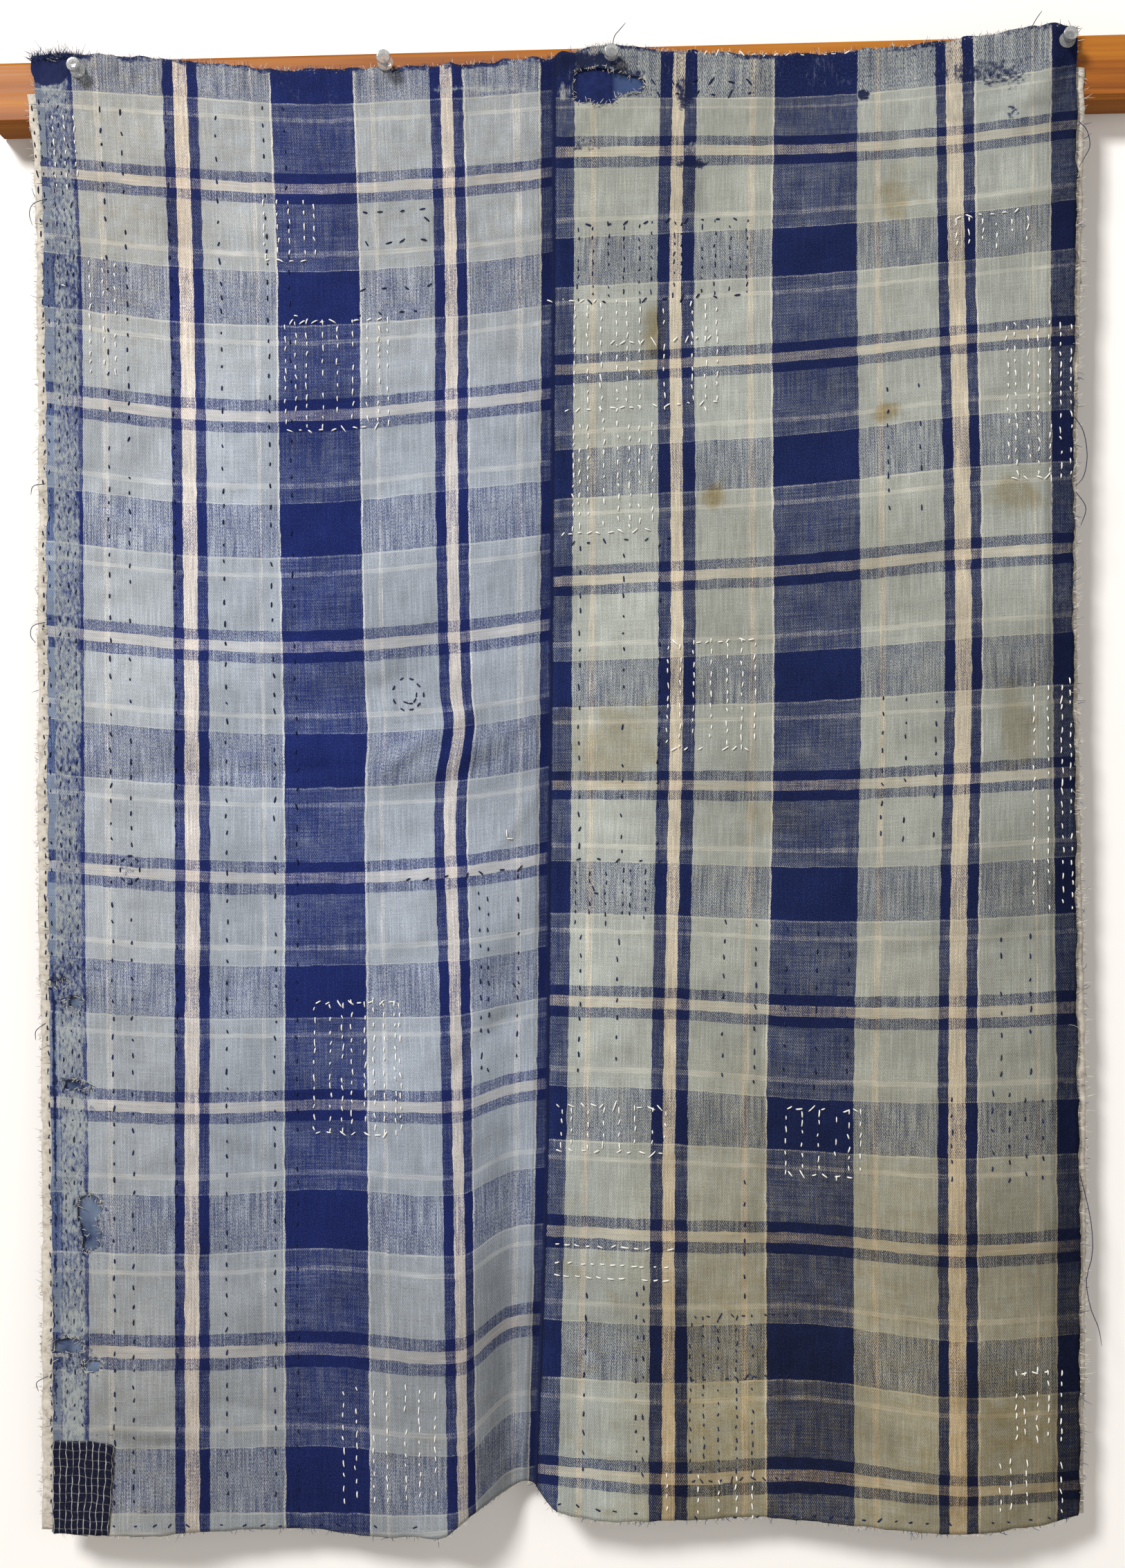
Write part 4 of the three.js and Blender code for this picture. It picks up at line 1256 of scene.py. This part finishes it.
stitchMarks = [  # single stitches and knots, by photo place, turn in degrees and length
    dict(thread="white", x=92, y=413, turn=20, length=7),
    dict(thread="white", x=168, y=541, turn=70, length=6),
    dict(thread="white", x=428, y=457, turn=10, length=6),
    dict(thread="white", x=925, y=588, turn=30, length=7),
    dict(thread="white", x=733, y=1206, turn=85, length=12),
    dict(thread="white", x=738, y=1213, turn=5, length=10),
    dict(thread="dark", x=617, y=317, turn=40, length=11),
    dict(thread="dark", x=744, y=1425, turn=60, length=8),
    dict(thread="dark", x=858, y=1285, turn=70, length=9),
    dict(thread="dark", x=862, y=1292, turn=10, length=7),
]
darkRing = dict(x=592, y=1005, wide=23, tall=28, stitches=9, inside=4, length=7.5)  # in the left panel
holeRing = dict(x=188, y=1258, wide=14, tall=20, stitches=8, length=8)  # round the mended hole


def ringStitch(ring, turn, reach, tilt):  # one dark stitch of a sewn ring
    x = ring["x"] + ring["wide"] * reach * math.cos(turn)
    y = ring["y"] + ring["tall"] * reach * math.sin(turn)
    lie = math.degrees(turn) + 90 + tilt
    stitchMarks.append(dict(thread="dark", x=x, y=y, turn=lie, length=ring["length"]))


for k in range(darkRing["stitches"] + darkRing["inside"]):
    reach = 0.9 + 0.14 * math.sin(5.3 * k) if k < darkRing["stitches"] else 0.45
    ringStitch(darkRing, 2 * math.pi * k / darkRing["stitches"], reach, 22 * math.sin(3.1 * k))
for k in range(holeRing["stitches"]):
    ringStitch(holeRing, 2 * math.pi * k / holeRing["stitches"], 1, 0)


def threadPiece(name, paths, radii, sides, material):  # many short tubes in one mesh; paths in mm
    paths, radii = np.asarray(paths), np.asarray(radii)
    count, rings = paths.shape[:2]
    way = np.gradient(paths, axis=1)
    way /= np.linalg.norm(way, axis=2, keepdims=True) + 1e-9
    aside = np.cross(way, [0.05, 1, 0.03])
    aside /= np.linalg.norm(aside, axis=2, keepdims=True) + 1e-9
    out = np.cross(aside, way)
    turn = 2 * math.pi * np.arange(sides) / sides
    spoke = aside[:, :, None] * np.cos(turn)[:, None] + out[:, :, None] * np.sin(turn)[:, None]
    points = (paths[:, :, None] + spoke * radii[:, :, None, None]).reshape(-1, 3) * mm
    k, s = np.meshgrid(np.arange(rings - 1), np.arange(sides), indexing="ij")
    first, beside = (k * sides + s).ravel(), (k * sides + (s + 1) % sides).ravel()
    walls = np.stack([first, beside, beside + sides, first + sides], 1)
    ends = np.stack([np.arange(sides)[::-1], (rings - 1) * sides + np.arange(sides)])
    starts = (np.arange(count) * rings * sides)[:, None, None]
    faces = (walls + starts).reshape(-1, 4).tolist() + (ends + starts).reshape(-1, sides).tolist()
    piece = meshObject(name, points.tolist(), [], faces, material)
    piece.data.shade_smooth()
    return piece


rng = np.random.default_rng(7)
# photo points of the two ends of each stitch
stitches = dict(white=[], dark=[], close=[], edge=[], facing=[])


def sewLine(thread, line, lean=0.0):  # line gives photo points along a row for shares 0 to 1
    kind = stitching[thread]
    way = line(np.linspace(0, 1, stitching["rowSteps"]))
    length = lengthAlong(way)
    at = rng.uniform(0, 0.5) * kind["pitch"]
    while at + kind["length"] < length[-1]:
        places = np.array([at, at + kind["length"] * rng.uniform(0.6, 1.2)])
        ends = np.stack([np.interp(places, length, way[:, k]) for k in (0, 1)], 1)
        ends[:, 1] += np.array([-1, 1]) * rng.normal(0, lean)
        stitches[thread].append(ends + rng.normal(0, 0.9, (2, 2)))
        # now and then a stitch is skipped
        at += kind["pitch"] * rng.choice([rng.uniform(0.75, 1.25), 2.1], p=[0.93, 0.07])


seamPhoto = 800  # photo column of the seam
for group in stitchColumns:
    for px in group["columns"]:
        chart = leftChart if px < seamPhoto - 2 else rightChart
        middle = (group["top"] + group["bottom"]) / 2
        across, _ = plaidPlace(chart, np.array([px]), np.array([middle]))
        top, bottom = group["top"] + rng.uniform(-5, 5), group["bottom"] + rng.uniform(-5, 5)

        def line(t, chart=chart, across=across, top=top, bottom=bottom):
            py = top + (bottom - top) * t
            return np.stack([photoColumn(chart, np.full(len(t), across[0]), py), py], 1)

        sewLine(group["thread"], line)
for group in stitchRows:
    for py in group["rows"]:
        chart = leftChart if group["left"] < seamPhoto - 10 else rightChart
        middle = (group["left"] + group["right"]) / 2
        _, repeat = plaidPlace(chart, np.array([middle]), np.array([py]))

        def line(t, chart=chart, repeat=repeat, left=group["left"], right=group["right"], py=py):
            px = left + (right - left) * t
            across, _ = plaidPlace(chart, px, np.full(len(t), float(py)))
            return np.stack([px, photoRow(chart, across, np.full(len(t), repeat[0]))], 1)

        sewLine(group["thread"], line, group["lean"])
for mark in stitchMarks:
    turn = math.radians(mark["turn"])
    half = mark["length"] / 2 * np.array([math.cos(turn), math.sin(turn)])
    stitches[mark["thread"]].append(np.array([mark["x"], mark["y"]]) + np.array([-1, 1])[:, None] * half)


def stitchPaths(thread):  # each stitch lies on the cloth's face and dives in at both ends
    kind, ends = stitching[thread], np.array(stitches[thread])
    middle = ends.mean(1)
    for t in tears:  # none over a tear
        whole = ~insideLine(middle[:, 0], middle[:, 1], t["line"])
        ends, middle = ends[whole], middle[whole]
    x, _, z = fromPhoto(ends[:, :, 0], ends[:, :, 1])
    t = np.linspace(0, 1, stitching["steps"] + 1)
    x = x[:, :1] + (x[:, 1:] - x[:, :1]) * t
    z = z[:, :1] + (z[:, 1:] - z[:, :1]) * t
    fromMiddle = 2 * t - 1
    y = clothFace(x, z) + kind.get("sunk", 0) - kind["lift"] * (1 - fromMiddle ** 4) + 0.35 * fromMiddle ** 6
    thin = kind["radius"] * np.array([0.6, 1.0, 1.0, 1.0, 0.6])
    return np.stack([x, y, z], -1), thin * rng.uniform(0.85, 1.15, (len(ends), 1))


darkParts = [stitchPaths(kind) for kind in ("dark", "close", "edge", "facing")]
whitePart = stitchPaths("white")
whiteStitches = threadPiece("whiteStitches", *whitePart, stitching["sides"], whiteThread)
darkPart = [np.concatenate(p) for p in zip(*darkParts)]
darkStitches = threadPiece("darkStitches", *darkPart, stitching["sides"], darkThread)
print("stitches sewn:", {name: len(made) for name, made in stitches.items()})


# Pins: a clear moulded head on a steel needle, turned about the needle

pinShape = dict(  # mm
    headRadius=4.4, headThickness=3.6, waistRadius=2.6, waistLength=5, flangeRadius=5, flangeThickness=1.6,
    needleRadius=0.6, needleTip=2, needleInHead=4, rounding=0.8, turns=40, needleTurns=16,
)


def spunPart(profile, centre, turns, name, material):
    # a profile of radius and depth, drawn as a line and spun about the needle
    points = [((centre[0] + r) * mm, y * mm, centre[1] * mm) for r, y in profile]
    part = meshObject(name, points, [(k, k + 1) for k in range(len(profile) - 1)], [], material)
    selectOnly(part)
    bpy.ops.object.mode_set(mode="EDIT")
    bpy.ops.mesh.select_all(action="SELECT")
    bpy.ops.mesh.spin(
        steps=turns, angle=2 * math.pi, center=(centre[0] * mm, 0, centre[1] * mm), axis=(0, 1, 0),
    )
    bpy.ops.mesh.select_all(action="SELECT")
    bpy.ops.mesh.remove_doubles(threshold=0.00001)
    bpy.ops.mesh.normals_make_consistent(inside=False)
    bpy.ops.object.mode_set(mode="OBJECT")
    bpy.ops.object.shade_smooth_by_angle(angle=math.radians(40))
    return part


def makePin(index):
    low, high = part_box(f"pin_{index}")
    centre = ((low[0] + high[0]) / 2 / mm, (low[2] + high[2]) / 2 / mm)
    p = pinShape
    crown, tip = low[1] / mm, high[1] / mm
    head = crown + p["headThickness"]
    waist = head + p["waistLength"]
    flange = waist + p["flangeThickness"]
    soft = p["rounding"]
    headR, waistR, flangeR, needleR = [p[name + "Radius"] for name in ("head", "waist", "flange", "needle")]
    moulded = [
        (0, crown + 0.25), (headR * 0.5, crown + 0.2), (headR - soft, crown), (headR - 0.25, crown + 0.25),
        (headR, crown + soft), (headR, head - soft), (headR - 0.4, head - 0.3),
        (waistR + 0.5, head + 0.3), (waistR, head + 1.2), (waistR * 0.9, (head + waist) / 2),
        (waistR * 1.05, waist - 1.2), (waistR + 0.7, waist - 0.2),
        (flangeR - 0.5, waist + 0.3), (flangeR, waist + soft), (flangeR - 0.2, flange), (0, flange),
    ]
    root = flange - p["needleInHead"]
    wire = [(0, root), (needleR, root), (needleR, tip - p["needleTip"]), (0.12, tip - 0.1), (0, tip)]
    plastic = spunPart(moulded, centre, p["turns"], f"pinHead{index}", styrene)
    needle = spunPart(wire, centre, p["needleTurns"], f"pinNeedle{index}", steel)
    return plastic, needle


pinPieces = [makePin(index) for index in (1, 2, 3, 4)]
print("pins turned")


# Fray and loose threads

fray = dict(radius=0.17, sides=3, steps=4)  # mm
fibres = dict(pale=[], dark=[])


def addFibres(x, y, z, way, length, curl, darkShare):  # fine fibres from many points, in mm
    t = np.linspace(0, 1, fray["steps"] + 1)[None, :, None]
    way = way / np.linalg.norm(way, axis=1, keepdims=True)
    bend = rng.normal(0, curl, way.shape)
    bend[:, 1] = -abs(bend[:, 1]) * 0.5
    root = np.stack([x, y, z], 1)[:, None]
    paths = root + (way[:, None] * t + bend[:, None] * t * t) * length[:, None, None]
    isDark = rng.uniform(0, 1, len(x)) < darkShare
    fibres["dark"].append(paths[isDark])
    fibres["pale"].append(paths[~isDark])


def frayEdge(place, count, outward, longest, darkShare, sunk=0.3):  # longest and sunk in mm
    x, z = place(rng.uniform(0, 1, count))
    way = np.array(outward) + rng.normal(0, 0.45, (count, 3)) * [1, 0.4, 1]
    length = longest * rng.uniform(0.15, 1, count) ** 2 + 0.8
    addFibres(x, clothFace(x, z) + sunk, z, way, length, 0.5, darkShare)


def facingEdge(panel, share):  # the outer edge of a facing
    x, z = clothPlace(panel, 0 * share + (0 if panel == "left" else rightW), share)
    return x + (-1 if panel == "left" else 1) * curveThrough(facingShows["z"], facingShows[panel], z), z


# top hems, and the thick fuzz of the left corner
frayEdge(lambda t: clothPlace("left", t * leftW, 0 * t + 0.002),
         count=2600, outward=(0, -0.35, 1), longest=2.0, darkShare=0.7)
frayEdge(lambda t: clothPlace("right", t * rightW, 0 * t + 0.002),
         count=2600, outward=(0, -0.35, 1), longest=2.0, darkShare=0.6)
frayEdge(lambda t: clothPlace("left", t * 30, 0 * t + 0.004),
         count=900, outward=(-0.3, -0.5, 1), longest=5, darkShare=0.95)
# bottom hems
frayEdge(lambda t: clothPlace("left", t * leftW, 0 * t + 1),
         count=220, outward=(0, -0.1, -1), longest=2.4, darkShare=0.3)
frayEdge(lambda t: clothPlace("right", t * rightW, 0 * t + 1),
         count=420, outward=(0, -0.1, -1), longest=3, darkShare=0.25)
# outer edges of the panels, then of the facings behind them
frayEdge(lambda t: clothPlace("right", 0 * t + rightW, t),
         count=420, outward=(1, -0.2, 0), longest=4, darkShare=0.3)
frayEdge(lambda t: clothPlace("left", 0 * t, t),
         count=500, outward=(-1, -0.2, 0), longest=3.4, darkShare=0.35)
frayEdge(lambda t: facingEdge("left", 0.03 + 0.96 * t),
         count=700, outward=(-1, -0.2, 0), longest=2.2, darkShare=0.1, sunk=3.3)
frayEdge(lambda t: facingEdge("right", 0.03 + 0.96 * t),
         count=600, outward=(1, -0.2, 0), longest=3, darkShare=0.2, sunk=3.3)
# torn edges
for t in tears:
    count = int(len(t["line"]) * 1.6)
    root = t["line"][rng.integers(0, len(t["line"]), count)] + rng.normal(0, 1.5, (count, 2))
    x, y, z = fromPhoto(root[:, 0], root[:, 1])
    inward = t["line"].mean(0) - root
    way = np.stack([inward[:, 0], 0 * x - 4, -inward[:, 1]], 1) + rng.normal(0, 26, (count, 3)) * [1, 0.3, 1]
    addFibres(x, y - 0.1, z, way, rng.uniform(0.8, 3.2, count), 0.4, 0.55)


def frayPiece(name, tone, material):
    paths = np.concatenate(fibres[tone])
    radii = fray["radius"] * rng.uniform(0.7, 1.4, (len(paths), 1)) * np.array([1, 1, 0.9, 0.7, 0.4])
    return threadPiece(name, paths, radii, fray["sides"], material)


looseShape = dict(rings=17, radius=0.26, sides=5, standOff=0.4, sway=1.5)  # mm
looseThreads = [  # photo points along the threads that hang free
    [(886, 66), (889, 54), (897, 44), (905, 33)],
    [(1488, 48), (1494, 36), (1500, 26), (1507, 16)],
    [(1560, 176), (1571, 190), (1575, 212), (1568, 228), (1560, 242)],
    [(1553, 602), (1566, 625), (1571, 660), (1566, 690), (1554, 704)],
    [(1556, 712), (1569, 735), (1563, 760)],
    [(1562, 1700), (1576, 1760), (1579, 1810), (1570, 1850), (1576, 1890), (1588, 1920), (1593, 1946)],
    [(68, 288), (50, 296), (44, 310), (47, 326)],
    [(66, 700), (50, 704), (45, 716)],
    [(66, 900), (49, 906), (46, 920), (52, 930)],
    [(66, 1480), (54, 1490), (52, 1504)],
    [(70, 1990), (55, 1998), (56, 2012)],
]
hanging = []
for points in looseThreads:
    at = np.linspace(0, len(points) - 1, looseShape["rings"])
    px, py = [curveThrough(np.arange(len(points)), np.array(points)[:, k], at) for k in (0, 1)]
    x, y, z = fromPhoto(px, py)
    sway = looseShape["sway"] * np.sin(at / at[-1] * math.pi)
    hanging.append(np.stack([x, y - looseShape["standOff"] - sway, z], 1))
taper = np.r_[np.ones(looseShape["rings"] - 4), 0.9, 0.8, 0.7, 0.5]
threadEnds = looseShape["radius"] * np.tile(taper, (len(hanging), 1))
loosePiece = threadPiece("looseThreads", hanging, threadEnds, looseShape["sides"], darkThread)
frayPale = frayPiece("frayPale", "pale", lintPale)
frayDark = frayPiece("frayDark", "dark", lintDark)
print("edges frayed:", sum(len(p) for made in fibres.values() for p in made), "fibres")


# Rail: the solid is the right shape and takes the wood

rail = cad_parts["rail"]
rail.data.materials.clear()
rail.data.materials.append(softwood)


# What each piece stands for

for panel in ("left", "right"):
    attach(panels[panel], "root")
    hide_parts(panel + "_panel")
for piece, node, slot in (
    (leftFacing, "left_facing", "cream_cotton"),
    (rightFacing, "right_facing", "cream_cotton"),
    (edgeMend, "edge_mend", "indigo_cotton"),
    (hemPatch, "hem_patch", "indigo_cotton"),
    (checkPatch, "check_patch", "check_cotton"),
):
    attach(piece, "root")
    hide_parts(node)
for index, (plastic, needle) in enumerate(pinPieces, 1):
    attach(plastic, "root")
    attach(needle, "root")
    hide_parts(f"pin_{index}")
for piece, slot in (
    (whiteStitches, "cream_cotton"),
    (darkStitches, "indigo_cotton"),
    (frayPale, "cream_cotton"),
    (frayDark, "indigo_cotton"),
    (loosePiece, "indigo_cotton"),
):
    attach(piece, "root")

# Stage and light

stage = dict(floorZ=-1.85, wallY=0.0012, wallTone="#f6f2ee", floorTone="#d9d6d0")


def stagePlane(name, corners, tone, oneWay):
    material, tree, shader = newMaterial(name)
    plane = meshObject(name, corners, [], [(0, 1, 2, 3)], material)
    shader.inputs["Base Color"].default_value = linear(tone)
    shader.inputs["Roughness"].default_value = 0.95
    if oneWay:  # plain and a little bright from the front, nothing from behind
        shader.inputs["Emission Color"].default_value = linear("#ffffff")
        shader.inputs["Emission Strength"].default_value = 0.05
        side = addNode(tree, "NewGeometry").outputs["Backfacing"]
        clear = addNode(tree, "BsdfTransparent").outputs[0]
        shown = addNode(tree, "MixShader", None, {0: side, 1: shader.outputs[0], 2: clear})
        tree.links.new(shown.outputs[0], tree.nodes["Material Output"].inputs["Surface"])
        for ray in ("diffuse", "glossy", "shadow", "transmission"):
            setattr(plane, "visible_" + ray, False)


wide, floorZ, wallY, wallTop = 4.0, stage["floorZ"], stage["wallY"], 2
floorCorners = [(-wide, -wide, floorZ), (wide, -wide, floorZ), (wide, wide, floorZ), (-wide, wide, floorZ)]
wallCorners = [(-wide, wallY, floorZ), (wide, wallY, floorZ), (wide, wallY, wallTop), (-wide, wallY, wallTop)]
stagePlane("floor", floorCorners, stage["floorTone"], False)
stagePlane("backdrop", wallCorners, stage["wallTone"], True)

lampAim = Vector((0, 0, -0.45))
lamps = [  # soft boxes: place, size and power
    dict(name="keyLight", at=(-1.9, -2.9, 2.2), size=0.9, power=202),
    dict(name="fillLight", at=(1.4, -2.3, 0.1), size=1.6, power=12),
]
for lamp in lamps:
    light = bpy.data.lights.new(lamp["name"], "AREA")
    light.size = lamp["size"]
    light.energy = lamp["power"]
    box = bpy.data.objects.new(lamp["name"], light)
    bpy.context.scene.collection.objects.link(box)
    box.location = lamp["at"]
    box.rotation_euler = (lampAim - box.location).to_track_quat("-Z", "Y").to_euler()
world = bpy.data.worlds.new("studio")
bpy.context.scene.world = world
world.use_nodes = True
world.node_tree.nodes["Background"].inputs[0].default_value = linear("#f6ede2")
world.node_tree.nodes["Background"].inputs[1].default_value = 0.2
bpy.context.scene.view_settings.view_transform = "Standard"
print("stage lit")
